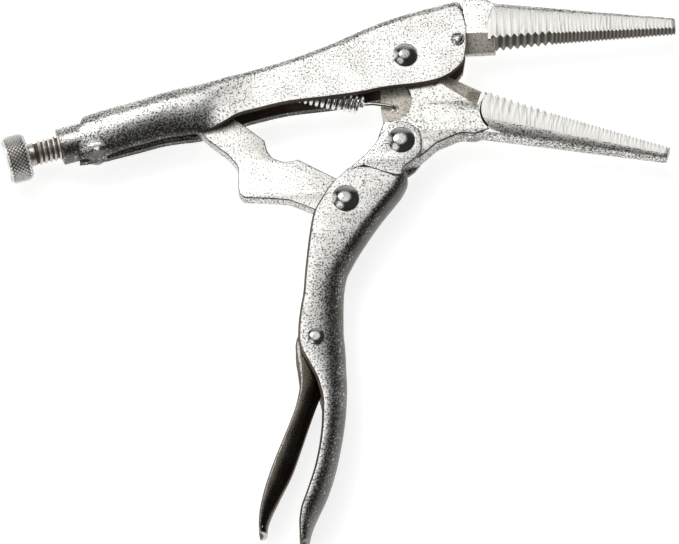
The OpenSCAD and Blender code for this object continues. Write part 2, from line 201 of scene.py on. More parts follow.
def easeColumn(keys, values, at):
    keys, values = np.asarray(keys, float), np.asarray(values, float)
    if keys[0] > keys[-1]:
        keys, values = keys[::-1], values[::-1]
    step = np.diff(keys)
    rate = np.diff(values) / step
    tangent = np.zeros(len(keys))
    tangent[0], tangent[-1] = rate[0], rate[-1]
    for i in range(1, len(keys) - 1):
        if rate[i - 1] * rate[i] > 0:
            a, b = 2 * step[i] + step[i - 1], step[i] + 2 * step[i - 1]
            tangent[i] = (a + b) / (a / rate[i - 1] + b / rate[i])
    i = np.clip(np.searchsorted(keys, at) - 1, 0, len(keys) - 2)
    u = (at - keys[i]) / step[i]
    return ((2 * u**3 - 3 * u**2 + 1) * values[i] + (u**3 - 2 * u**2 + u) * step[i] * tangent[i]
            + (3 * u**2 - 2 * u**3) * values[i + 1] + (u**3 - u**2) * step[i] * tangent[i + 1])


def fillet(points, radius, steps=6):
    # rounds each corner of a closed outline; a corner may carry its own radius
    points = [tuple(p) for p in points]
    out = []
    for i, p in enumerate(points):
        here = np.array(p[:2])
        before = np.array(points[i - 1][:2]) - here
        after = np.array(points[(i + 1) % len(points)][:2]) - here
        wanted = p[2] if len(p) > 2 else radius
        la, lb = np.linalg.norm(before), np.linalg.norm(after)
        turn = math.acos(np.clip(before @ after / (la * lb), -1, 1))
        reach = min(wanted / max(math.tan(turn / 2), 1e-3), 0.48 * la, 0.48 * lb)
        a, b = here + before / la * reach, here + after / lb * reach
        for k in range(steps + 1):
            t = k / steps
            out.append((1 - t) ** 2 * a + 2 * t * (1 - t) * here + t * t * b)
    return np.array(out)


def ringPoints(centre, radius, count=48, start=0.0):
    angle = start + np.arange(count) * 2 * math.pi / count
    return np.stack([centre[0] + radius * np.cos(angle), centre[1] + radius * np.sin(angle)], 1)


def plateObject(name, outlines, half, edge=0.25, middle=0.0, sharp=40):
    # flat plate with rounded edges, holes and all
    curve = bpy.data.curves.new(name, "CURVE")
    curve.dimensions = "2D"
    curve.fill_mode = "BOTH"
    curve.extrude = half - edge
    curve.bevel_depth = edge
    curve.bevel_resolution = 2
    curve.offset = -edge
    for line in outlines:
        spline = curve.splines.new("POLY")
        spline.points.add(len(line) - 1)
        for point, p in zip(spline.points, line):
            point.co = (p[0], p[1], 0, 1)
        spline.use_cyclic_u = True
    holder = bpy.data.objects.new(name, curve)
    bpy.context.scene.collection.objects.link(holder)
    bpy.context.view_layer.update()
    mesh = bpy.data.meshes.new_from_object(holder.evaluated_get(bpy.context.evaluated_depsgraph_get()))
    bpy.data.objects.remove(holder)
    mesh.transform(Matrix.Translation((0, 0, middle)))
    mesh.transform(Matrix.Translation(Vector(datum)) @ Matrix.Scale(0.001, 4))
    blankSlots(mesh)
    finishMesh(mesh, sharp)
    obj = bpy.data.objects.new(name, mesh)
    bpy.context.scene.collection.objects.link(obj)
    return obj


def loftRings(name, rings, sharp=32, caps=True):
    rings = np.asarray(rings, float)
    m, n = rings.shape[:2]
    faces = [(i * n + j, (i + 1) * n + j, (i + 1) * n + (j + 1) % n, i * n + (j + 1) % n)
             for i in range(m - 1) for j in range(n)]
    if caps:
        faces += [tuple(range(n)), tuple((m - 1) * n + j for j in range(n))[::-1]]
    return makeObject(name, rings.reshape(-1, 3), faces, sharp)


def sheetLoft(name, lines, thickness, axis, sharp=40, shadedLip=False, highlightLip=False):
    # bent sheet: each line runs over the outside from lip to lip
    rings = []
    for k, line in enumerate(lines):
        line = np.asarray(line, float)
        flat = line[:, [axis, 2]]
        t = np.gradient(flat, axis=0)
        t /= np.maximum(np.linalg.norm(t, axis=1)[:, None], 1e-9)
        normal = np.stack([-t[:, 1], t[:, 0]], 1)
        middle = flat.mean(0)
        if np.sum((flat - middle) * normal) > 0:
            normal = -normal
        amount = thickness[k] if hasattr(thickness, "__len__") else thickness
        inner = flat + normal * amount
        lips = []
        for a, b, d in ((flat[-1], inner[-1], t[-1]), (inner[0], flat[0], -t[0])):
            for u in (0.12, 0.5, 0.88):
                lips.append(a + (b - a) * u + d * amount * 0.5 * (math.sin(math.pi * u) - 0.35))
        loop = np.concatenate([flat, lips[:3], inner[::-1], lips[3:]])
        ring = np.zeros((len(loop), 3))
        ring[:, axis], ring[:, 2] = loop[:, 0], loop[:, 1]
        ring[:, 1 - axis] = line[0, 1 - axis]
        if line[:, 1 - axis].std() > 1e-9:  # slanted station: keep the slant by height
            order = np.argsort(flat[:, 0])
            ring[:, 1 - axis] = np.interp(loop[:, 0], flat[order, 0], line[order, 1 - axis])
        rings.append(ring)
    rings = np.array(rings)
    m, n = rings.shape[:2]
    count = len(lines[0])
    faces = [(i * n + j, (i + 1) * n + j, (i + 1) * n + (j + 1) % n, i * n + (j + 1) % n)
             for i in range(m - 1) for j in range(n)]
    for base in (0, (m - 1) * n):
        hollow = lambda j: base + count + 3 + (count - 1 - j)
        faces += [(base + j, base + j + 1, hollow(j + 1), hollow(j)) for j in range(count - 1)]
        faces += [(base + count - 1, base + count, base + count + 1, base + count + 2, hollow(count - 1)),
                  (hollow(0), base + n - 3, base + n - 2, base + n - 1, base)]
    # inner faces, and the lip faces when the dark-lip switch is on, go to slot 1, which carries painted shade
    inside = [k for k in range((m - 1) * n) if count + 3 <= k % n < 2 * count + 2 or shadedLip and k % n >= n - 4]
    obj = makeObject(name, rings.reshape(-1, 3), faces, sharp, inside)
    # with the bright-lip switch the faces beside each lip go to slot 2, which carries a painted highlight
    for face in obj.data.polygons if highlightLip else ():
        if face.index < (m - 1) * n and face.index % n in (0, n - 1):
            face.material_index = 2
    return obj


def channelLine(back, lip, half, radius, count=10, oval=0.0):
    # outside of a channel from the near lip over the back to the far lip, as (main, z)
    sign = 1 if back > lip else -1
    radius = min(radius, abs(back - lip) * 0.9, half)
    wall = [(lip + (back - sign * radius - lip) * u, half) for u in np.linspace(0, 1, count)[:-1]]
    arc = [(back - sign * radius * (1 - math.sin(a)), half - radius * (1 - math.cos(a)))
           for a in np.linspace(0, math.pi / 2, count)]
    top = [(back, (half - radius) * (1 - u)) for u in np.linspace(0, 1, 5)[1:]]
    near = np.array(wall + arc + top)
    # an oval channel curves over its whole depth
    reach = np.concatenate([[0], np.cumsum(np.linalg.norm(np.diff(near, axis=0), axis=1))])
    angle = reach / reach[-1] * math.pi / 2
    curved = np.stack([lip + (back - lip) * np.sin(angle), half * np.cos(angle)], 1)
    near = near * (1 - oval) + curved * oval
    near[-1, 1] = 0
    far = near[:-1][::-1] * np.array([1, -1])
    return np.concatenate([near, far])


def tube(name, path, radius, sides=14, sharp=50):
    path = np.asarray(path, float)
    tangent = np.gradient(path, axis=0)
    tangent /= np.linalg.norm(tangent, axis=1)[:, None]
    side = np.cross(tangent[0], [0.3, 0.2, 0.93])
    rings = []
    for p, t in zip(path, tangent):
        side = side - t * (side @ t)
        side /= np.linalg.norm(side)
        up = np.cross(t, side)
        angle = np.arange(sides) * 2 * math.pi / sides
        rings.append(p + radius * (np.outer(np.cos(angle), side) + np.outer(np.sin(angle), up)))
    return loftRings(name, rings, sharp)


def curvePath(points, count):
    points = np.asarray(points, float)
    reach = np.concatenate([[0], np.cumsum(np.linalg.norm(np.diff(points, axis=0), axis=1))])
    at = np.linspace(0, reach[-1], count)
    line = np.stack([np.interp(at, reach, points[:, k]) for k in range(3)], 1)
    for _ in range(3):
        line[1:-1] = (line[:-2] + 2 * line[1:-1] + line[2:]) / 4
    return line


def turned(name, profile, sides=72, sharp=32, origin=(0, 0, 0), screw=False):
    # profile rows are (distance along, radius)
    rings = []
    angle = np.arange(sides) * 2 * math.pi / sides
    for s, r in profile:
        r = max(r, 0.004)
        if screw:
            rings.append([onScrew(s, r * math.cos(a), r * math.sin(a)) for a in angle])
        else:
            rings.append([(origin[0] + r * math.cos(a), origin[1] + r * math.sin(a), s) for a in angle])
    return loftRings(name, rings, sharp)


print("helpers ready")

# geometry node tools


def newTool(name, sockets):
    group = bpy.data.node_groups.new(name, "GeometryNodeTree")
    for label, kind, value in sockets:
        item = group.interface.new_socket(label, in_out="INPUT", socket_type=kind)
        if value is not None:
            item.default_value = value
    group.interface.new_socket("Geometry", in_out="OUTPUT", socket_type="NodeSocketGeometry")
    return group, group.nodes.new("NodeGroupInput"), group.nodes.new("NodeGroupOutput")


def wire(group, kind, inputs=None, **settings):
    node = group.nodes.new(kind)
    for key, value in settings.items():
        setattr(node, key, value)
    for key, value in (inputs or {}).items():
        target = node.inputs[key]
        if isinstance(value, bpy.types.NodeSocket):
            group.links.new(value, target)
        else:
            target.default_value = value
    return node


def maths(group, operation, *values):
    node = group.nodes.new("ShaderNodeMath")
    node.operation = operation
    for i, value in enumerate(values):
        if isinstance(value, bpy.types.NodeSocket):
            group.links.new(value, node.inputs[i])
        else:
            node.inputs[i].default_value = value
    return node.outputs[0]


def times(group, *values):
    return maths(group, "MULTIPLY", *values)


def plus(group, *values):
    return maths(group, "ADD", *values)


def minus(group, *values):
    return maths(group, "SUBTRACT", *values)


def over(group, *values):
    return maths(group, "DIVIDE", *values)


def closeTool(group, geometry, source, target):
    real = wire(group, "GeometryNodeRealizeInstances", {"Geometry": geometry})
    painted = wire(group, "GeometryNodeSetMaterial",
                   {"Geometry": real.outputs[0], "Material": source.outputs["Material"]})
    group.links.new(painted.outputs[0], target.inputs[0])


def runTool(group, name, values, matrix, sharp=40):
    mesh = bpy.data.meshes.new(name)
    obj = bpy.data.objects.new(name, mesh)
    bpy.context.scene.collection.objects.link(obj)
    step = obj.modifiers.new("tool", "NODES")
    step.node_group = group
    for item in group.interface.items_tree:
        if item.in_out == "INPUT" and item.name in values:
            step[item.identifier] = values[item.name]
    bpy.context.view_layer.update()
    made = bpy.data.meshes.new_from_object(obj.evaluated_get(bpy.context.evaluated_depsgraph_get()))
    obj.modifiers.clear()
    obj.data = made
    made.transform(Matrix.Scale(0.001, 4))
    made.transform(matrix)
    for face in made.polygons:
        face.material_index = 0
    finishMesh(made, sharp)
    return obj


def helixTool():
    group, source, target = newTool("helix tool", [
        ("Turns", "NodeSocketFloat", 8.0), ("Pitch", "NodeSocketFloat", 1.27),
        ("Radius", "NodeSocketFloat", 3.0), ("Sides", "NodeSocketInt", 10),
        ("Wide", "NodeSocketFloat", 0.5), ("Tall", "NodeSocketFloat", 0.5),
        ("Material", "NodeSocketMaterial", None)])
    get = source.outputs
    line = wire(group, "GeometryNodeCurveSpiral", {
        "Resolution": 64, "Rotations": get["Turns"], "Start Radius": get["Radius"],
        "End Radius": get["Radius"], "Height": times(group, get["Turns"], get["Pitch"])})
    upright = wire(group, "GeometryNodeSetCurveNormal", {"Curve": line.outputs[0]}, mode="Z_UP")
    ring = wire(group, "GeometryNodeCurvePrimitiveCircle", {"Resolution": get["Sides"], "Radius": 1.0})
    size = wire(group, "ShaderNodeCombineXYZ", {"X": get["Tall"], "Y": get["Wide"], "Z": 1.0})
    shaped = wire(group, "GeometryNodeTransform", {"Geometry": ring.outputs[0], "Scale": size.outputs[0]})
    swept = wire(group, "GeometryNodeCurveToMesh", {
        "Curve": upright.outputs[0], "Profile Curve": shaped.outputs[0], "Fill Caps": True})
    closeTool(group, swept.outputs[0], source, target)
    return group


def knurlTool():
    group, source, target = newTool("knurl tool", [
        ("Around", "NodeSocketInt", 40), ("Rows", "NodeSocketInt", 12),
        ("Radius", "NodeSocketFloat", 5.7), ("Width", "NodeSocketFloat", 5.4),
        ("Round Over", "NodeSocketFloat", 0.5), ("Tall", "NodeSocketFloat", 0.5),
        ("Material", "NodeSocketMaterial", None)])
    get = source.outputs
    total = times(group, get["Around"], get["Rows"])
    line = wire(group, "GeometryNodeMeshLine", {"Count": total})
    index = wire(group, "GeometryNodeInputIndex").outputs[0]
    row = maths(group, "FLOOR", over(group, plus(group, index, 0.5), get["Around"]))
    column = minus(group, index, times(group, row, get["Around"]))
    shift = times(group, maths(group, "MODULO", row, 2.0), 0.5)
    angle = times(group, over(group, plus(group, column, shift), get["Around"]),
                  2 * math.pi)
    spread = minus(group, over(group, row, minus(group, get["Rows"], 1.0)), 0.5)
    height = times(group, spread, get["Width"])
    drop = times(group, maths(group, "POWER", maths(group, "ABSOLUTE", times(group, spread, 2.0)),
                 5.0), get["Round Over"])
    radius = minus(group, get["Radius"], drop)
    place = wire(group, "ShaderNodeCombineXYZ", {
        "X": times(group, radius, maths(group, "COSINE", angle)),
        "Y": times(group, radius, maths(group, "SINE", angle)), "Z": height})
    placed = wire(group, "GeometryNodeSetPosition", {"Geometry": line.outputs[0], "Position": place.outputs[0]})
    cell = over(group, times(group, get["Radius"], math.pi), get["Around"])
    stud = wire(group, "GeometryNodeMeshCone", {
        "Vertices": 4, "Radius Top": times(group, cell, 0.3),
        "Radius Bottom": times(group, cell, 0.86), "Depth": get["Tall"]})
    turn = wire(group, "ShaderNodeCombineXYZ", {
        "X": 0.0, "Y": math.pi / 2, "Z": angle})
    studs = wire(group, "GeometryNodeInstanceOnPoints", {
        "Points": placed.outputs[0], "Instance": stud.outputs[0], "Rotation": turn.outputs[0]})
    closeTool(group, studs.outputs[0], source, target)
    return group


def boxSolid(name, outline, z0, z1, sharp=30):
    n = len(outline)
    points = [(p[0], p[1], z0) for p in outline] + [(p[0], p[1], z1) for p in outline]
    faces = [tuple(range(n))[::-1], tuple(range(n, 2 * n))]
    faces += [(j, (j + 1) % n, n + (j + 1) % n, n + j) for j in range(n)]
    return makeObject(name, points, faces, sharp)


def pinSolid(centre, radius, z0, z1, count=48):
    return boxSolid("cutter", ringPoints(centre, radius, count), z0, z1)


# fixed handle

fixedHandle = {
    "sheet": 1.75, "frontHalf": 4.98, "gripHalf": 6.27, "corner": 2.7,
    # x, back, lower edge
    "line": [[-80.75, -14.9, -26.3], [-80.1, -14.65, -26.2], [-76.4, -13.3, -25.6], [-67, -10.7, -23.1],
             [-58.9, -8.1, -20.9], [-55.6, -7.2, -20.4], [-51.9, -6.4, -19.9], [-49.3, -5.9, -19.1],
             [-45.2, -4.9, -17.4], [-41.7, -4.0, -15.3], [-36.4, -2.4, -13.7], [-28.8, 0, -11.9],
             [-18.4, 4.05, -10.6], [-11.3, 7.4, -9.55], [-4.2, 10.4, -8.15], [3, 12.75, -7.3],
             [7.7, 14.0, -6.3], [11.3, 14.95, -4.5], [12.6, 15.2, -3.3], [13.4, 15.0, -2.5],
             [14.1, 13.6, -1.5], [14.6, 12.0, -0.6], [14.95, 10.2, 2.6]],
}


def handleLine(x, back, lower):
    tall = back - lower
    rear = 1 / (1 + math.exp((x + 47.6) / 1.7))
    wide = np.clip((-36 - x) / 18, 0, 1)
    wide = wide * wide * (3 - 2 * wide)
    half = fixedHandle["frontHalf"] + (fixedHandle["gripHalf"] - fixedHandle["frontHalf"]) * wide
    front = channelLine(back, lower, half, fixedHandle["corner"], 12)
    narrow = 1 - 0.26 * np.clip((-64 - x) / 16.7, 0, 1) ** 1.5
    # pear-shaped rear section: widest in its upper third, tucked under to a slot
    keys = np.array([(0, 0), (0.3, 0.005), (0.58, 0.045), (0.82, 0.14), (0.96, 0.26), (1, 0.36), (0.985, 0.5),
                     (0.91, 0.66), (0.76, 0.82), (0.58, 0.94), (0.42, 0.995)])
    reach = np.concatenate([[0], np.cumsum(np.linalg.norm(np.diff(keys * [half, tall], axis=0), axis=1))])
    count = len(front) // 2 + 1
    at = np.linspace(0, reach[-1], count)
    z = easeColumn(reach, keys[:, 0], at) * half * narrow
    y = back - easeColumn(reach, keys[:, 1], at) * tall
    pear = np.stack([y, z], 1)[::-1]
    pear = np.concatenate([pear, pear[:-1][::-1] * [1, -1]])
    return front * (1 - rear) + pear * rear


def buildFixedHandle():
    table = smoothLine(fixedHandle["line"], 150)
    lines = []
    for x, back, lower in table:
        flat = handleLine(x, back, lower)
        lines.append(np.stack([np.full(len(flat), x), flat[:, 0], flat[:, 1]], 1))
    lines = np.array(lines)
    # shoulder of the rear end, and the crimp where the slot starts
    for line in lines:
        x = line[0, 0]
        drop = 1.7 * np.clip((-79.6 - x) / 1.15, 0, 1) ** 2.4
        top = line[:, 1].max()
        share = np.clip((line[:, 1] - (top - 4.6)) / 4.6, 0, 1)
        line[:, 1] -= drop * share
    for line in lines:
        x, top, low = line[0, 0], line[:, 1].max(), line[:, 1].min()
        pinch = math.exp(-((x + 75.9) / 2.3) ** 2)
        under = np.clip(((top - line[:, 1]) / (top - low) - 0.9) / 0.1, 0, 1) * pinch
        line[:, 1] -= 0.55 * under
        line[:, 2] *= 1 - 0.85 * under
        d2 = ((x + 76.4) / 2.0) ** 2 + ((line[:, 1] + 24.4) / 1.35) ** 2
        share = np.clip(1.2 * np.exp(-d2), 0, 1) * (abs(line[:, 2]) > 1.5)
        line[:, 2] += (np.sign(line[:, 2]) * 4.85 - line[:, 2]) * share
    shell = sheetLoft("shell", lines, fixedHandle["sheet"], 1, sharp=45, shadedLip=True)
    bore = 3.24
    # the collar is a rolled tube: its section is swept round the screw axis
    rows = [(-88.3, bore), (-88.4, bore + 0.12), (-88.4, 4.4), (-88.22, 4.6), (-84, 4.62), (-79.6, 4.62),
            (-79.3, 4.4), (-79.3, bore + 0.1), (-79.5, bore)]
    sides = 80
    angle = np.arange(sides) * 2 * math.pi / sides
    rings = [[onScrew(s, r * math.cos(a), r * math.sin(a)) for s, r in rows] for a in angle]
    rings = np.array(rings)
    n = len(rows)
    faces = [(i * n + j, ((i + 1) % sides) * n + j, ((i + 1) % sides) * n + (j + 1) % n, i * n + (j + 1) % n)
             for i in range(sides) for j in range(n)]
    collar = makeObject("collar", rings.reshape(-1, 3), faces, 30)
    lug = plateObject("lug", [fillet([[-36.2, -4.0], [-31.2, -2.4], [-31.6, -6.8], [-33.6, -8], [-35.6, -7]], 0.8),
                              ringPoints((-33.6, -6.3), 0.75, 20)], 0.7, 0.15)
    # rivet and weld holes
    for centre, radius in (((0, 0), 2.18), ((13, 4.2), 1.7)):
        cut(shell, pinSolid(centre, radius, -9, 9), sharp=45)
    return join("fixedHandleBody", shell, collar, lug)


# movable handle

movableHandle = {
    # left lip x and y, back x and y, half width, corner radius
    "rows": [[-13.6, -29.7, 0.1, -30.2, 4.98, 2.6], [-15.6, -31.6, 0.45, -31.9, 4.98, 3.2],
             [-18.2, -34.2, -0.6, -34.8, 4.98, 3.7], [-20.6, -38.2, -2.9, -38.2, 4.98, 4.1],
             [-22.3, -41.5, -5.4, -41.5, 5.0, 4.3], [-23.4, -47.6, -9.5, -47.6, 5.15, 4.5],
             [-24.1, -53.6, -13, -53.6, 5.35, 4.8], [-24.5, -57.7, -14.8, -57.7, 5.5, 5.0],
             [-24.9, -62.8, -15.5, -62.8, 5.6, 5.2], [-25.6, -67, -15.6, -67, 5.67, 5.3],
             [-26.15, -71.8, -15.6, -71.8, 5.67, 5.3], [-26.25, -75.3, -15.3, -75.3, 5.67, 5.3],
             [-25.5, -78.2, -15.1, -78.2, 5.67, 5.3], [-23.8, -81.5, -15, -81.5, 5.67, 5.3],
             [-21.5, -86.5, -14.8, -86.5, 5.67, 5.3], [-20.4, -92, -15, -92, 5.67, 5.2],
             [-20.5, -97, -15.5, -97, 5.67, 5.0], [-21.0, -102, -16.3, -102, 5.67, 4.6],
             [-22.2, -108.3, -17.6, -108.3, 5.6, 4.4], [-24.1, -114.5, -19.5, -114.5, 5.5, 4.2],
             [-25.9, -120.2, -22, -120.2, 5.2, 3.6], [-26.25, -123.4, -23.1, -122.8, 5.0, 2.9],
             [-26.2, -125.9, -23.6, -124.4, 4.7, 2.2], [-25.9, -128.0, -24.0, -126.0, 4.3, 1.4]],
    "ear": [[-5.6, -19.9], [-7.6, -23.6], [-9.9, -26.3], [-13.5, -29.55], [-14.2, -30.9, 0.3], [-10.4, -29.4, 0.6],
            [-3.0, -31.9, 0.6], [-1.2, -31.9, 0.3], [-0.7, -30.3], [-0.2, -29.4], [2.2, -27.6], [3.9, -25.4],
            [4.1, -22]],
}


def buildMovableHandle():
    rows = np.array(movableHandle["rows"])
    reach = np.concatenate([[0], np.cumsum(np.linalg.norm(np.diff(rows[:, 2:4], axis=0), axis=1))])
    table = smoothLine(np.column_stack([reach, rows]), 150)
    lines, sheet = [], []
    for s, lx, ly, bx, by, half, corner in table:
        flat = channelLine(bx, lx, half, corner, 12, 0.2 + 0.45 * np.clip((-40 - by) / 25, 0, 1))
        share = (flat[:, 0] - lx) / (bx - lx)
        lines.append(np.stack([flat[:, 0], ly + (by - ly) * share, flat[:, 1]], 1))
        thin = np.clip((reach[-1] - s) / 8, 0, 1)
        sheet.append(1.0 + 0.75 * thin)
    channel = sheetLoft("channel", lines, sheet, 0, sharp=45, shadedLip=True)
    cut(channel, pinSolid((-14.96, -38.06), 2.18, -9, 9), pinSolid((-22.41, -74.77), 1.38, -9, 9), sharp=45)
    ears = []
    around = ringPoints((-1.11, -22.67), 5.0, 60)
    for side in (-1, 1):
        centre = np.array([-1.11, -22.67])
        arc = [centre + 5.0 * np.array([math.cos(a), math.sin(a)]) for a in np.radians(np.arange(-12, 170, 7))]
        rest = fillet(movableHandle["ear"], 1.6)
        outline = np.concatenate([np.array(arc), rest[:-8]])
        ears.append(plateObject("ear", [outline, ringPoints(centre, 2.18, 40)], 0.9, 0.28,
                                middle=side * (3.2 + 0.93), sharp=45))
    return join("movableHandleBody", channel, *ears)


# release lever

releaseLever = {
    # left lip x and y, back x and y, half width, corner radius
    "rows": [[-20.9, -67.2, -18.0, -67.2, 3.2, 1.0], [-22.8, -70.2, -17.95, -70.2, 3.75, 1.6],
             [-25.3, -72.2, -17.92, -72.2, 3.78, 2.2], [-26.6, -74.3, -17.9, -74.3, 3.78, 2.6],
             [-27.0, -76.4, -17.9, -76.4, 3.78, 3.0], [-26.9, -78.6, -18.0, -78.6, 3.78, 3.2],
             [-26.4, -82, -18.6, -82, 3.78, 3.5], [-26.0, -86.5, -20.4, -86.5, 3.78, 3.6],
             [-26.7, -91, -22.2, -91, 3.78, 3.6], [-28.3, -96, -23.9, -96, 3.78, 3.6],
             [-30.6, -101.9, -25.8, -101.9, 3.78, 3.5], [-33.3, -109.2, -28.3, -109.2, 3.78, 3.4],
             [-35.2, -115.8, -31.4, -115.8, 3.7, 2.9], [-36.1, -121, -33.7, -121, 3.6, 2.0],
             [-36.2, -123.2, -34.3, -123.2, 3.4, 1.5], [-36.0, -125.0, -34.45, -125.0, 3.1, 1.2]],
}


def buildReleaseLever():
    rows = np.array(releaseLever["rows"])
    reach = np.concatenate([[0], np.cumsum(np.linalg.norm(np.diff(rows[:, :2], axis=0), axis=1))])
    table = smoothLine(np.column_stack([reach, rows]), 110)
    lines, sheet = [], []
    for s, lx, ly, bx, by, half, corner in table:
        flat = channelLine(bx, lx, half, corner, 12, np.clip((-74 - ly) / 9, 0, 1))
        lines.append(np.stack([flat[:, 0], np.full(len(flat), ly), flat[:, 1]], 1))
        sheet.append(0.95 + 0.45 * np.clip((reach[-1] - s) / 7, 0, 1))
    lever = sheetLoft("lever", lines, sheet, 0, sharp=45, highlightLip=True)
    cut(lever, pinSolid((-22.41, -74.77), 1.46, -9, 9), sharp=45)
    lever.name = "releaseLeverBody"
    return lever


# toggle link

toggleLink = {
    "half": 1.98,
    "outline": [[-14.6, -33.0, 2.5], [-10.4, -35.6, 4], [-10.3, -40.5, 4], [-14.2, -43.4, 4], [-19.5, -41.2, 3],
                [-23.2, -39.6, 3], [-28.8, -37.3, 3], [-33.6, -36.9, 3], [-40.1, -36.6, 1.2], [-41.2, -35.4, 0.9],
                [-41.5, -33.8, 1.5], [-41.4, -29, 2.5], [-42, -27.6, 2.5], [-44.2, -25, 3], [-48, -22, 3],
                [-54.6, -15.7, 1.0], [-56.2, -13.2, 2.0], [-55.2, -10.0, 2.4], [-51.6, -9.1, 2.4],
                [-48.4, -10.4, 1.5],
                [-43.2, -14.7, 4], [-38.5, -18.6, 0.8], [-35, -21.4, 1.0], [-34.4, -23.9, 1.6], [-33.1, -26, 1.6],
                [-30.3, -27.1, 1.2], [-28.1, -26.9, 0.6], [-26.8, -26.4, 0.7]],
}


def buildToggleLink():
    outline = fillet(toggleLink["outline"], 2)
    body = plateObject("link", [outline, ringPoints((-14.96, -38.06), 2.27, 48)], toggleLink["half"], 0.32, sharp=40)
    bosses = [plateObject("boss", [ringPoints((-14.96, -38.06), 4.55, 60), ringPoints((-14.96, -38.06), 2.27, 48)],
                          0.55, 0.12, middle=side * 2.5, sharp=40) for side in (-1, 1)]
    return join("toggleLinkBody", body, *bosses)


# jaws

fixedJaw = {"root": np.array([21, 4.6]), "turn": math.radians(4), "side": 1, "arc": ((31.0, 7.9), 10.2),
            "core": 3.9, "groove": 3.5,
            "start": -0.4, "bevel": ((0.9, 0.5), (1.7, 0.6), (6.4, 4.35), (0.9, 5.6))}
movableJaw = {"root": np.array([21.2, -10.0]), "turn": math.radians(-17.5), "side": -1, "arc": ((24.3, -14.2), 5.6),
              "core": 2.9, "groove": 2.5, "start": -2.6}
blade = {
    "length": 46.3, "rootHalf": 4.38, "tipHalf": 2.18, "rootTall": 10.7, "tipTall": 3.25,
    "rootFlat": 8.5, "tipFlat": 2.45, "coarse": 9, "coarsePitch": 1.75, "finePitch": 0.93, "knee": 0.35,
}


def bladePoint(jaw, x, y, z):
    c, s = math.cos(jaw["turn"]), math.sin(jaw["turn"])
    y = y * jaw["side"]
    return np.array([jaw["root"][0] + x * c - y * s, jaw["root"][1] + x * s + y * c, z])


def toothLine():
    # distance along the blade and depth of each crest and root
    rows = []
    coarse = blade["coarse"] * blade["coarsePitch"]
    for i in range(blade["coarse"]):
        x = i * blade["coarsePitch"]
        rise = blade["knee"] * x / coarse
        rows += [(x, rise), (x + 0.12, rise), (x + blade["coarsePitch"] * 0.5 - 0.06, rise + 0.85),
                 (x + blade["coarsePitch"] * 0.5 + 0.06, rise + 0.85), (x + blade["coarsePitch"] - 0.12, rise)]
    count = int((blade["length"] - coarse) / blade["finePitch"])
    pitch = (blade["length"] - coarse) / count
    for i in range(count):
        x = coarse + i * pitch
        rise = blade["knee"] * (1 - i / count)
        rows += [(x, rise), (x + 0.06, rise), (x + pitch * 0.5 - 0.03, rise + 0.44),
                 (x + pitch * 0.5 + 0.03, rise + 0.44), (x + pitch - 0.06, rise)]
    rows.append((blade["length"], 0))
    return rows


def buildBlade(jaw, name):
    rings = []
    for x, foot in [(jaw["start"], 0.1), (-0.01, 0.1)] + toothLine():
        t = x / blade["length"]
        half = blade["rootHalf"] + (blade["tipHalf"] - blade["rootHalf"]) * t
        tall = blade["rootTall"] + (blade["tipTall"] - blade["rootTall"]) * t
        flat = blade["rootFlat"] + (blade["tipFlat"] - blade["rootFlat"]) * t
        if jaw["side"] < 0:
            flat *= 0.80
        end = max(0.0, (t - 0.985) / 0.015)
        half -= 0.12 * end
        tall -= 0.15 * end
        line = [(foot, half - 0.02)]
        line += [(foot + 0.12, half), (flat - 0.15, half)]
        for a in np.linspace(0.06, math.pi / 2, 9):
            line.append((flat + (tall - flat) * math.sin(a), half * math.cos(a) ** 0.8 * 0.985))
        line += [(y, -z) for y, z in line[::-1][1:]]
        rings.append([bladePoint(jaw, x, y, z) for y, z in line])
    body = loftRings(name, rings, 28)
    # the raised ground face starts at an arc
    centre, radius = jaw["arc"]
    angle = np.radians(np.linspace(100, 260, 40))
    arc = [(centre[0] + radius * math.cos(a), centre[1] + radius * math.sin(a)) for a in angle]
    outline = arc + [(centre[0] - radius * 0.2, centre[1] - 30), (centre[0] - 30, centre[1] - 30),
                     (centre[0] - 30, centre[1] + 30), (centre[0] - radius * 0.2, centre[1] + 30)]
    cut(body, *[boxSolid("trim", outline, side * jaw["core"], side * 9) for side in (-1, 1)], sharp=28)
    toothed = np.array([math.sin(jaw["turn"]), -math.cos(jaw["turn"]), 0]) * jaw["side"]
    paintFaces(body, 3, lambda c, normal: True)
    # the faces of the teeth go to slot 1, which carries painted shade
    return paintFaces(body, 1, lambda c, normal: np.dot(normal, toothed) > 0.25)


def grooveTools(jaw):
    # thin arc-shaped cutters that part the ground face from the root
    centre, radius = jaw["arc"]
    tools = []
    for side in (-1, 1):
        line = []
        for r, sweep in ((radius + 0.38, np.linspace(118, 242, 40)), (radius - 0.02, np.linspace(242, 118, 40))):
            line += [(centre[0] + r * math.cos(a), centre[1] + r * math.sin(a)) for a in np.radians(sweep)]
        tools.append(boxSolid("groove", line, side * (jaw["groove"]), side * 9))
    return tools


def inGroove(jaw):
    centre, radius = jaw["arc"]
    return lambda c, normal: (-0.1 < math.hypot(c[0] - centre[0], c[1] - centre[1]) - radius < 0.45
                              and abs(c[2]) < jaw["core"] + 0.3
                              and (abs(normal[2]) < 0.5 or abs(c[2]) < jaw["groove"] + 0.05))


def wedgeSolid(points):
    # four-cornered bar between two ends, used to cut a bevel
    return makeObject("wedge", points, [(0, 1, 2, 3), (7, 6, 5, 4), (0, 4, 5, 1), (1, 5, 6), (1, 6, 2),
                                        (2, 6, 7), (2, 7, 3), (3, 7, 4, 0)])


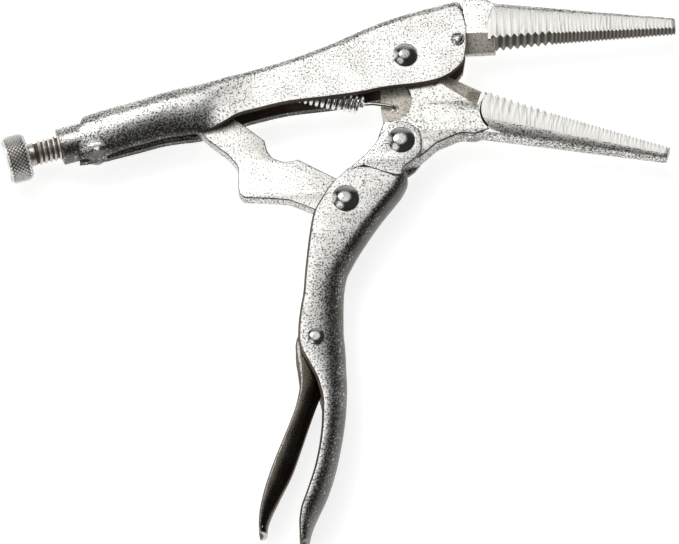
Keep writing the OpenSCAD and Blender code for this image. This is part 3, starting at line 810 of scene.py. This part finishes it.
def buildFixedJaw():
    tongue = plateObject("tongue", [fillet([[14.5, 1.8], [4, 1.7], [6.6, 3.4], [5.2, 6.6], [1, 8.2], [-3.4, 7.6],
                                            [3, 9.9], [7.7, 11.3], [12.4, 12.6], [14.5, 12.7]], 0.8)], 3.16, 0.2)
    block = boxSolid("block", [(14.3, 1.75), (22.4, 2.2), (22.4, 13.9), (20.4, 15.1), (14.5, 15.15), (14.3, 14.9)],
                     -4.2, 4.2)
    step = block.modifiers.new("round", "BEVEL")
    step.width, step.segments, step.limit_method = 0.0006, 3, "ANGLE"
    bake(block, 35)
    wedges = [wedgeSolid([(x, y, side * z) for x in (14, 23.0) for y, z in fixedJaw["bevel"]]) for side in (-1, 1)]
    cut(block, *wedges, *grooveTools(fixedJaw), sharp=30)
    paintFaces(block, 2, lambda c, normal: normal[1] < -0.3 and c[1] < 6.6)
    # the groove faces go to slot 1, painted shade inside the groove
    paintFaces(block, 1, inGroove(fixedJaw))
    return join("fixedJawBody", tongue, block, buildBlade(fixedJaw, "blade"))


def buildMovableJaw():
    outline = fillet([[1.5, 6.1, 3], [-6, 4.5, 3], [-6.3, -3, 3], [-6.1, -12.5, 4], [-5.4, -17.0, 2],
                      [-6.9, -21.2, 3],
                      [-6.2, -26.2, 4], [-1.2, -28.5, 4], [3.6, -26.4, 3], [7.8, -22.6, 5], [13.5, -20.1, 4],
                      [17.4, -20.3, 1.5], [20.6, -19.2, 1.5], [22, -16.6, 1], [22, -10.6, 0.2],
                      [20.6, -9.8, 0.3], [18.9, -8.2, 0.4],
                      [6.3, -1.9, 2], [6.0, 3.5, 4]], 2)
    arm = plateObject("arm", [outline, ringPoints((0, 0), 2.27, 48), ringPoints((-1.11, -22.67), 2.27, 48),
                              ringPoints((-2.6, -12.9), 1.05, 24)], 3.08, 0.4, sharp=40)
    pockets = []
    for side in (-1, 1):
        pockets.append(boxSolid("pocket", ringPoints((-4.3, -11.3), 5.85, 48), side * 1.2, side * 9))
    wedges = []
    turn = math.radians(-25.8)
    for side in (-1, 1):
        points = []
        for along in (7.6, 21.8):
            low = -2.2 if along < 10 else -4.1
            for y, z in ((1.9, 0.5), (0.9, 0.5), (low, 3.3), (1.9, 6.2)):
                points.append((along * math.cos(turn) - y * math.sin(turn),
                               along * math.sin(turn) + y * math.cos(turn),
                               side * z))
        wedges.append(wedgeSolid(points))
    block = plateObject("block", [fillet([[19.0, -8.5, 0.5], [20.6, -9.9, 0.3], [22.2, -10.6, 0.2],
                                          [22.4, -17.4, 1],
                                          [19.4, -19.6, 1], [15.9, -20.3, 2.5], [14.4, -13.5, 5],
                                          [15.4, -8.0, 2.5]],
                                         1)], 2.9, 0.4, sharp=40)
    cut(arm, *pockets, *grooveTools(movableJaw), sharp=40)
    for body in (arm, block):
        tools = []
        for wedge in wedges:
            copy = wedge.copy()
            copy.data = wedge.data.copy()
            bpy.context.scene.collection.objects.link(copy)
            tools.append(copy)
        cut(body, *tools, sharp=40)
    for wedge in wedges:
        bpy.data.objects.remove(wedge)
    for body in (arm, block):
        paintFaces(body, 2, lambda c, normal: abs(normal[2]) > 0.3 and normal[1] > 0.25 and c[1] > -12.5)
    paintFaces(arm, 2, lambda c, normal: math.hypot(c[0] + 4.3, c[1] + 11.3) < 5.95 and abs(c[2]) < 2.95)
    # the pocket walls and the groove faces go to slot 1, painted shade in the recesses
    paintFaces(arm, 1, lambda c, normal: math.hypot(c[0] + 4.3, c[1] + 11.3) < 5.95 and abs(normal[2]) < 0.5
               and abs(c[2]) > 1.25)
    paintFaces(arm, 1, inGroove(movableJaw))
    return join("movableJawBody", arm, block, buildBlade(movableJaw, "blade"))


print("bodies defined")

# rivets, screw, knob, spring

rivets = {
    "jaw_pivot_rivet": {"at": (0, 0), "shank": 2.18, "head": 3.08, "face": 4.98, "tall": 1.29,
                        "body": "fixed_handle"},
    "handle_pivot_rivet": {"at": (-1.11, -22.67), "shank": 2.18, "head": 3.38, "face": 5.05, "tall": 1.22,
                           "body": "movable_handle"},
    "link_pivot_rivet": {"at": (-14.96, -38.06), "shank": 2.18, "head": 3.38, "face": 5.0, "tall": 1.27,
                         "body": "movable_handle"},
    "lever_pivot_rivet": {"at": (-22.41, -74.77), "shank": 1.38, "head": 2.08, "face": 5.67, "tall": 0.61,
                          "body": "movable_handle"},
}


def buildRivet(name, spec):
    r, face, tall = spec["head"], spec["face"], spec["tall"]
    top = []
    for a in np.linspace(0, math.pi / 2, 12):
        top.append((face + 0.14 + (tall - 0.14) * (1 - math.cos(a) ** 2.5), r * math.cos(a)))
    near = [(face - 0.03, spec["shank"]), (face - 0.03, r - 0.12), (face + 0.05, r - 0.01)] + top
    rows = [(-s, q) for s, q in near[::-1]] + near
    return turned(name, rows, 64, 40, origin=spec["at"])


def buildWeldPlugs():
    rng = np.random.default_rng(4)
    plugs = []
    for side in (-1, 1):
        rings = []
        lumps = rng.uniform(-1, 1, 6)
        for z, r in [(3.3, 1.66), (4.9, 1.68), (5.0, 1.9), (5.12, 1.72), (5.2, 1.5), (5.06, 1.25), (5.14, 1.0),
                     (5.38, 0.7), (5.44, 0.3), (5.44, 0.02)]:
            ring = []
            for a in np.arange(48) * 2 * math.pi / 48:
                wobble = (1 + 0.05 * lumps[0] * math.sin(2 * a + lumps[1])
                          + 0.05 * lumps[2] * math.sin(3 * a + lumps[3]))
                lift = 0.06 * lumps[4] * math.cos(a + lumps[5]) if z > 5 else 0
                q = min(r * wobble, 1.73)
                ring.append((13 + q * math.cos(a), 4.2 + q * math.sin(a), side * min(z + lift, 5.44)))
            rings.append(ring)
        plugs.append(loftRings("plug", rings, 40))
    return join("weldPlugPair", *plugs)


screwSpec = {"radius": 3.15, "pitch": 1.27, "knob": -99.5, "tip": -64.65}
knobSpec = {"radius": 6.05, "width": 6.0, "around": 34, "rows": 11}
springSpec = {"wire": 0.5, "coil": 2.66, "pitch": 1.42, "hook": (-2.6, -12.9), "lug": (-33.6, -6.3)}


def onAxis(origin, direction):
    # matrix whose z runs along a direction, from a point in millimetres
    z = Vector(direction).normalized()
    x = Vector((0, 0, 1)).cross(z).normalized()
    y = z.cross(x)
    turn = Matrix((x, y, z)).transposed().to_4x4()
    return Matrix.Translation(Vector(np.array(origin, float) / 1000 + datum)) @ turn


def buildScrew(helix, material):
    r = screwSpec["radius"]
    core = r - 0.62
    knobEnd = screwSpec["knob"] + 3
    rows = [(screwSpec["knob"] - 1.4, 1.97), (knobEnd - 0.05, 1.97), (knobEnd - 0.02, r - 0.45),
            (knobEnd + 0.25, r - 0.3),
            (knobEnd + 1.5, r - 0.3), (knobEnd + 1.9, core), (screwSpec["tip"] - 1.0, core),
            (screwSpec["tip"] - 0.5, core),
            (screwSpec["tip"] - 0.1, core - 0.4), (screwSpec["tip"], core - 0.7)]
    body = turned("core", rows, 64, 35, screw=True)
    start = knobEnd + 2.0
    turns = (screwSpec["tip"] - 0.9 - start) / screwSpec["pitch"]
    thread = runTool(helix, "thread", {
        "Turns": turns, "Pitch": screwSpec["pitch"], "Radius": core + 0.02, "Sides": 6, "Wide": 0.42, "Tall": 0.6,
        "Material": material}, onAxis(onScrew(start), alongScrew), 25)
    # the threaded core goes to slot 1, painted shade between the threads
    paintFaces(body, 1, lambda c, normal: np.dot(c, alongScrew) > knobEnd + 1.6)
    return join("adjustingScrewBody", body, thread)


def buildKnob(knurl, material):
    r, half = knobSpec["radius"], knobSpec["width"] / 2
    base = r - 0.42
    rows = [(-half + 0.08, 4.2), (-half, 4.5), (-half + 0.1, base - 0.75), (-half + 0.35, base - 0.35),
            (-half + 0.8, base - 0.06), (-half + 1.3, base), (half - 1.3, base), (half - 0.8, base - 0.06),
            (half - 0.35, base - 0.35), (half - 0.1, base - 0.75), (half, 4.5), (half, 2.3), (half - 0.15, 2.02)]
    sides = 96
    rows = [(-half + 0.1, 0.02)] + rows + [(-half + 1.55, 2.02), (-half + 1.5, 0.02)]
    rows = [(screwSpec["knob"] + s, q) for s, q in rows]
    body = turned("blank", rows, sides, 35, screw=True)
    studs = runTool(knurl, "studs", {
        "Around": knobSpec["around"], "Rows": knobSpec["rows"], "Radius": base - 0.02, "Width": 5.1,
        "Round Over": 0.62, "Tall": 0.44, "Material": material}, onAxis(onScrew(screwSpec["knob"]), alongScrew), 20)
    # the knob's barrel between the knurl studs goes to slot 1, painted shade
    paintFaces(body, 1, lambda c, normal: abs(np.dot(normal, alongScrew)) < 0.45)
    return join("adjustingKnobBody", body, studs)


def buildSpring(helix, material):
    hook, lug = np.array(springSpec["hook"]), np.array(springSpec["lug"])
    span = np.linalg.norm(hook - lug)
    way = (hook - lug) / span
    start, end = 4.4, span - 8.2
    ring = springSpec["coil"] - springSpec["wire"]
    turns = math.floor((end - start) / springSpec["pitch"]) + 0.25
    end = start + turns * springSpec["pitch"]
    coil = runTool(helix, "coil", {
        "Turns": turns, "Pitch": springSpec["pitch"], "Radius": ring, "Sides": 12, "Wide": springSpec["wire"],
        "Tall": springSpec["wire"], "Material": material},
        onAxis((lug[0] + way[0] * start, lug[1] + way[1] * start, 0), (way[0], way[1], 0)), 60)
    point = lambda s, n, z: (lug[0] + way[0] * s - way[1] * n, lug[1] + way[1] * s + way[0] * n, z)
    front = curvePath([point(end, 0.1, ring), point(end + 0.9, -0.7, ring * 0.96), point(end + 2.6, -0.2, 2.25),
                       point(span - 1.4, 0.2, 2.1), point(span - 0.25, 0.05, 1.9), point(span + 0.1, 0, 1.2),
                       point(span + 0.05, 0, -1.0), point(span - 0.2, 0, -1.65), point(span - 1.0, 0, -1.9)], 60)
    rear = curvePath([point(start, ring, 0), point(start - 0.7, ring * 0.8, 1.2), point(1.6, 0.1, 1.5),
                      point(0.35, 0, 1.4), point(-0.05, 0, 0.9), point(-0.05, 0, -0.9), point(0.3, 0, -1.25)], 50)
    wires = [tube("hook wire", front, springSpec["wire"] * 0.92), tube("lug wire", rear, springSpec["wire"] * 0.92)]
    return join("returnSpringBody", coil, *wires)


# materials


def link(tree, value, socket):
    if isinstance(value, bpy.types.NodeSocket):
        tree.links.new(value, socket)
    else:
        socket.default_value = value


def step01(tree, value, low, high):
    node = tree.nodes.new("ShaderNodeMapRange")
    node.interpolation_type = "SMOOTHSTEP"
    tree.links.new(value, node.inputs["Value"])
    node.inputs["From Min"].default_value = low
    node.inputs["From Max"].default_value = high
    return node.outputs[0]


def mixColor(tree, share, a, b):
    node = tree.nodes.new("ShaderNodeMix")
    node.data_type = "RGBA"
    link(tree, share, node.inputs["Factor"])
    for value, socket in ((a, node.inputs[6]), (b, node.inputs[7])):
        link(tree, (*value, 1) if isinstance(value, tuple) else value, socket)
    return node.outputs[2]


def noise(tree, where, scale, detail=2.0, rough=0.5):
    node = tree.nodes.new("ShaderNodeTexNoise")
    tree.links.new(where, node.inputs["Vector"])
    node.inputs["Scale"].default_value = scale
    node.inputs["Detail"].default_value = detail
    node.inputs["Roughness"].default_value = rough
    return node.outputs["Fac"]


def metal(name, look):
    material = bpy.data.materials.new(name)
    material.use_nodes = True
    tree = material.node_tree
    shader = tree.nodes["Principled BSDF"]
    where = tree.nodes.new("ShaderNodeTexCoord").outputs["Object"]
    shape = tree.nodes.new("ShaderNodeNewGeometry")
    grain = noise(tree, where, look.get("grainScale", 2300), 3.0, 0.68)
    patch = noise(tree, where, look.get("patchScale", 160), 3.0, 0.55)
    turned = tree.nodes.new("ShaderNodeSeparateXYZ")
    local = tree.nodes.new("ShaderNodeVectorTransform")
    local.vector_type, local.convert_from, local.convert_to = "NORMAL", "WORLD", "OBJECT"
    tree.links.new(shape.outputs["Normal"], local.inputs[0])
    tree.links.new(local.outputs[0], turned.inputs[0])
    flatness = maths(tree, "ABSOLUTE", turned.outputs["Z"])
    # painted shade: the dark specks grow denser where the plating tilts away from the flats, most of all on faces
    # turned towards -y
    tiltShade = maths(tree, "SQRT", minus(tree, 1.0001, times(tree, flatness, flatness)))
    # painted light: faces turned towards +y lose most of their dark specks and come out lighter
    paintedBackLight = step01(tree, turned.outputs["Y"], 0.55, 0.9)
    tiltShade = times(tree, tiltShade, minus(tree, 1.0, times(tree, paintedBackLight, look.get("paintedBackLight", 0.75))))
    tiltShade = plus(tree, times(tree, tiltShade, look.get("tiltShade", 0.17)),
                 times(tree, maths(tree, "MAXIMUM", times(tree, turned.outputs["Y"], -1.0), 0.0),
                       look.get("under", 0.06)))
    level = plus(tree, plus(tree, grain, tiltShade),
                  times(tree, minus(tree, patch, 0.5), 0.12))
    # painted light: fewer specks again on the faces turned towards +y
    level = minus(tree, level, times(tree, paintedBackLight, look.get("paintedBackLight", 0.75) * 0.12))
    speck = step01(tree, level, look.get("speckLow", 0.545), look.get("speckHigh", 0.6))
    speck = times(tree, speck, look.get("speck", 0.9))
    base = mixColor(tree, step01(tree, patch, 0.35, 0.65), look["color"], look.get("second", look["color"]))
    base = mixColor(tree, speck, base, look.get("dark", (0.045, 0.04, 0.034)))
    edge = step01(tree, shape.outputs["Pointiness"], 0.53, 0.62)
    hollow = step01(tree, shape.outputs["Pointiness"], 0.45, 0.36)
    # painted shade: concave creases and corners (low pointiness) are darkened towards dark brown
    base = mixColor(tree, times(tree, hollow, look.get("hollow", 0.5)), base, (0.07, 0.055, 0.04))
    # painted edge light: convex edges (high pointiness) take the rim colour, a dark painted shade line by default
    # and a painted highlight where a look gives a light rim colour
    base = mixColor(tree, times(tree, edge, look.get("edge", 0.75)), base, look.get("edgeShadeAndHighlight", (0.16, 0.14, 0.12)))
    # painted shade: a dark line on the rounded plate edges, where the faces turn between flat and side-on
    if "bevelShadeBand" in look:
        band = times(tree, step01(tree, flatness, 0.94, 0.82), step01(tree, flatness, 0.12, 0.3))
        base = mixColor(tree, times(tree, band, look["bevelShadeBand"]), base, (0.05, 0.043, 0.036))
    rough = plus(tree, look["rough"], times(tree, minus(tree, grain, 0.5),
                                                      look.get("roughGrain", 0.2)))
    bump = tree.nodes.new("ShaderNodeBump")
    bump.inputs["Strength"].default_value = look.get("bump", 0.6)
    bump.inputs["Distance"].default_value = look.get("bumpDepth", 0.00012)
    height = grain
    if "scratch" in look:
        spec = look["scratch"]
        mapping = tree.nodes.new("ShaderNodeMapping")
        tree.links.new(where, mapping.inputs["Vector"])
        mapping.inputs["Rotation"].default_value = (0, 0, spec["turn"])
        mapping.inputs["Scale"].default_value = spec["stretch"]
        lines = noise(tree, mapping.outputs[0], spec["scale"], 2.0, 0.6)
        ground = step01(tree, flatness, 0.985, 0.997)
        mark = times(tree, ground, step01(tree, lines, 0.55, 0.66))
        clean = mixColor(tree, times(tree, mark, 0.5), (0.9, 0.89, 0.86), (0.36, 0.33, 0.29))
        base = mixColor(tree, ground, base, clean)
        height = plus(tree, times(tree, grain, minus(tree, 1.0, ground)),
                       times(tree, times(tree, lines, ground), 0.5))
    if "face" in look:
        spec = look["face"]
        facing = plus(tree, times(tree, turned.outputs["X"], spec["way"][0]),
                       times(tree, turned.outputs["Y"], spec["way"][1]))
        base = mixColor(tree, times(tree, step01(tree, facing, 0.25, 0.5), 0.9), base, spec["color"])
    tree.links.new(height, bump.inputs["Height"])
    tree.links.new(bump.outputs[0], shader.inputs["Normal"])
    tree.links.new(base, shader.inputs["Base Color"])
    tree.links.new(rough, shader.inputs["Roughness"])
    shader.inputs["Metallic"].default_value = look.get("metallic", 1.0)
    return material


looks = {
    "handle steel": {"color": (0.9, 0.89, 0.87), "second": (0.8, 0.79, 0.765), "rough": 0.34},
    "plate steel": {"color": (0.88, 0.87, 0.84), "second": (0.79, 0.78, 0.75), "rough": 0.36, "tiltShade": 0.1,
                    "under": 0.0,
                    "edge": 0.0, "hollow": 0.0, "bevelShadeBand": 0.85},
    "grip steel": {"color": (0.88, 0.87, 0.85), "second": (0.78, 0.77, 0.745), "rough": 0.34, "tiltShade": 0.23,
                   "paintedBackLight": 0.0},
    "jaw steel": {"color": (0.85, 0.84, 0.81), "second": (0.78, 0.77, 0.74), "rough": 0.38, "tiltShade": 0.12,
                  "paintedBackLight": 0.3, "edge": 0.0,
                  "scratch": {"turn": math.radians(-20), "stretch": (1, 0.06, 1), "scale": 2600}},
    "moving jaw steel": {"color": (0.87, 0.86, 0.83), "second": (0.8, 0.79, 0.76), "rough": 0.38, "tiltShade": 0.08,
                         "edge": 0.0,
                         "under": 0.0, "scratch": {"turn": math.radians(3), "stretch": (1, 0.05, 1),
                                                   "scale": 2600}},
    "link steel": {"color": (0.89, 0.88, 0.85), "second": (0.8, 0.79, 0.755), "rough": 0.36, "tiltShade": 0.05,
                   "under": 0.0,
                   "edge": 0.0, "hollow": 0.0, "bevelShadeBand": 0.85},
    # painted highlight: a near-white strip along the release lever's lip
    "lip highlight steel": {"color": (0.9, 0.89, 0.86), "second": (0.8, 0.78, 0.74), "rough": 0.4, "tiltShade": 0.0, "under": 0.0,
                  "metallic": 0.3, "hollow": 0.0, "edge": 0.0},
    # painted shade: the lever's plating is given a dark brown, with a painted highlight on its convex edges
    "lever shade steel": {"color": (0.17, 0.145, 0.12), "second": (0.1, 0.083, 0.068), "rough": 0.27, "tiltShade": 0.1,
                    "speck": 0.6,
                    "edgeShadeAndHighlight": (0.8, 0.79, 0.76)},
    # painted shade: dark brown for inner faces, cut lips, grooves, pocket walls and the cores between threads and
    # knurl studs, where little light reaches
    "inner shade steel": {"color": (0.17, 0.13, 0.1), "second": (0.1, 0.077, 0.06), "rough": 0.55, "tiltShade": 0.0,
                    "under": 0.0,
                    "speck": 0.5, "edge": 0.1, "metallic": 0.6},
    # painted shade: the teeth are given a dark brown, with lighter crests as a painted highlight
    "tooth shade steel": {"color": (0.1, 0.078, 0.06), "second": (0.06, 0.046, 0.036), "rough": 0.5, "tiltShade": 0.0,
                    "under": 0.0, "speck": 0.5, "edge": 0.4, "edgeShadeAndHighlight": (0.5, 0.46, 0.4), "metallic": 0.6},
    "ground steel": {"color": (0.92, 0.87, 0.77), "second": (0.72, 0.665, 0.57), "rough": 0.5, "tiltShade": 0.0,
                     "under": 0.0,
                     "speck": 0.7, "metallic": 0.35, "edge": 0.0, "hollow": 0.0},
    # painted shade in the thread roots and a painted highlight on the crests
    "screw steel": {"color": (0.62, 0.58, 0.52), "second": (0.46, 0.42, 0.37), "rough": 0.28, "tiltShade": 0.0,
                    "under": 0.02,
                    "speck": 0.4, "hollow": 0.85, "edge": 0.6, "edgeShadeAndHighlight": (0.95, 0.93, 0.9), "metallic": 0.9},
    "knob steel": {"color": (0.95, 0.945, 0.93), "second": (0.85, 0.84, 0.82), "rough": 0.32, "tiltShade": 0.0,
                   "under": 0.0,
                   "hollow": 0.0, "edge": 0.0, "speck": 0.2, "bump": 0.1, "metallic": 0.85},
    "rivet steel": {"color": (0.58, 0.58, 0.57), "second": (0.42, 0.42, 0.41), "rough": 0.1, "tiltShade": 0.02,
                    "under": 0.0,
                    "speck": 0.45, "roughGrain": 0.08, "bump": 0.25, "edge": 0.0},
    "spring steel": {"color": (0.85, 0.85, 0.83), "second": (0.74, 0.74, 0.72), "rough": 0.2, "tiltShade": 0.0,
                     "under": 0.0,
                     "speck": 0.3, "bump": 0.15, "edge": 0.0},
}
materials = {name: metal(name, look) for name, look in looks.items()}
print("materials ready")


def dress(obj, material, body, nodes):
    for i, one in enumerate(material if isinstance(material, list)
                            else [material, "inner shade steel", "ground steel", material]):
        obj.data.materials[i] = materials[one]
    if body:
        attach(obj, body)
    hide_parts(*nodes)
    print("built", obj.name, len(obj.data.polygons))
    return obj


dress(buildFixedHandle(), "handle steel", "fixed_handle", ["fixed_handle"])
dress(buildFixedJaw(), ["plate steel", "tooth shade steel", "ground steel", "jaw steel"], "fixed_handle",
      ["fixed_jaw"])
dress(buildWeldPlugs(), "handle steel", "fixed_handle", ["jaw_weld_plugs"])
dress(buildMovableJaw(), ["plate steel", "tooth shade steel", "ground steel", "moving jaw steel"],
      "movable_jaw", ["movable_jaw"])
dress(buildMovableHandle(), "grip steel", "movable_handle", ["movable_handle"])
dress(buildToggleLink(), "link steel", "toggle_link", ["toggle_link"])
dress(buildReleaseLever(), ["lever shade steel", "inner shade steel", "lip highlight steel", "lever shade steel"],
      "release_lever", ["release_lever"])
for node, spec in rivets.items():
    dress(buildRivet(node + "_body", spec), "rivet steel", spec["body"], [node])
helix, knurl = helixTool(), knurlTool()
dress(buildScrew(helix, materials["screw steel"]), "screw steel", "adjusting_screw",
      ["adjusting_screw"])
dress(buildKnob(knurl, materials["knob steel"]), "knob steel", "adjusting_knob", ["adjusting_knob"])
spring = buildSpring(helix, materials["spring steel"])
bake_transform(spring)
dress(spring, "spring steel", None, ["return_spring"])

# floor and light

floorMesh = bpy.data.meshes.new("floor")
floorMesh.from_pydata([(-3, -3, -0.0004), (3, -3, -0.0004), (3, 3, -0.0004), (-3, 3, -0.0004)], [], [(0, 1, 2, 3)])
floor = bpy.data.objects.new("floor", floorMesh)
bpy.context.scene.collection.objects.link(floor)
paint = bpy.data.materials.new("floor paint")
paint.use_nodes = True
paint.node_tree.nodes["Principled BSDF"].inputs["Base Color"].default_value = (0.5, 0.5, 0.5, 1)
paint.node_tree.nodes["Principled BSDF"].inputs["Roughness"].default_value = 0.9
paint.node_tree.nodes["Principled BSDF"].inputs["Emission Color"].default_value = (1, 1, 1, 1)
paint.node_tree.nodes["Principled BSDF"].inputs["Emission Strength"].default_value = 0.8
floorMesh.materials.append(paint)
floor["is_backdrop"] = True

world = bpy.data.worlds.new("studio")
bpy.context.scene.world = world
world.use_nodes = True
sky = world.node_tree
backdrop = sky.nodes["Background"]
direction = sky.nodes.new("ShaderNodeTexCoord").outputs["Generated"]


def glow(way, inner, outer):
    # soft disc of light in one direction, by the cosine of its edges
    unit = Vector(way).normalized()
    dot = sky.nodes.new("ShaderNodeVectorMath")
    dot.operation = "DOT_PRODUCT"
    sky.links.new(direction, dot.inputs[0])
    dot.inputs[1].default_value = unit
    return step01(sky, dot.outputs["Value"], math.cos(math.radians(outer)), math.cos(math.radians(inner)))


overhead = times(sky, glow((-0.12, 0.36, 0.93), 18, 30), 1.22)
frontGlow = times(sky, glow((-0.55, -0.36, 0.75), 10, 24), 1.4)
leftGlow = times(sky, glow((-0.9, 0.3, 0.3), 12, 26), 1.3)
horizon = sky.nodes.new("ShaderNodeSeparateXYZ")
sky.links.new(direction, horizon.inputs[0])
low01 = times(sky, step01(sky, horizon.outputs["Z"], 0.26, 0.06), 0.5)
backGlow = times(sky, glow((0, 1, 0.12), 22, 42), 0.42)
total = plus(sky, plus(sky, overhead, low01), plus(sky, backGlow, 0.05))
total = plus(sky, total, plus(sky, frontGlow, leftGlow))
sky.links.new(total, backdrop.inputs["Strength"])
backdrop.inputs["Color"].default_value = (1, 0.995, 0.985, 1)


def softBox(name, at, size, power, target=(0, 0, 0)):
    data = bpy.data.lights.new(name, "AREA")
    data.shape, data.size, data.size_y, data.energy = "RECTANGLE", size[0], size[1], power
    lamp = bpy.data.objects.new(name, data)
    lamp.location = at
    lamp.rotation_euler = (Vector(target) - Vector(at)).to_track_quat("-Z", "Y").to_euler()
    bpy.context.scene.collection.objects.link(lamp)


softBox("key", (-0.45, 0.5, 0.95), (0.4, 0.3), 2.5)

# camera

cameraData = bpy.data.cameras.new("camera")
camera = bpy.data.objects.new("camera", cameraData)
bpy.context.scene.collection.objects.link(camera)
azimuth, elevation, roll = math.radians(0.6), math.radians(68.6), math.radians(-0.9)
back = Vector((math.sin(azimuth) * math.cos(elevation), -math.cos(azimuth) * math.cos(elevation),
               math.sin(elevation)))
across = Vector((0, 0, 1)).cross(back).normalized()
above = back.cross(across)
right = across * math.cos(roll) + above * math.sin(roll)
upward = above * math.cos(roll) - across * math.sin(roll)
distance = 3.0
aim = Vector(datum) + Vector((-16.57, -55.7, 0)) / 1000
camera.matrix_world = Matrix.Translation(aim + back * distance) @ Matrix((right, upward,
                                                                          back)).transposed().to_4x4()
cameraData.sensor_width = 36
cameraData.lens = 12165 * 36 / 679
cameraData.clip_start, cameraData.clip_end = 0.05, 20
scene = bpy.context.scene
scene.camera = camera
scene.view_settings.view_transform = "Standard"
scene.view_settings.look = "None"
print("stage ready")

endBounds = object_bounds()
({"start": [list(map(float, v)) if hasattr(v, "__len__") else float(v) for v in startBounds],
           "end": [list(map(float, v)) if hasattr(v, "__len__") else float(v) for v in endBounds]})
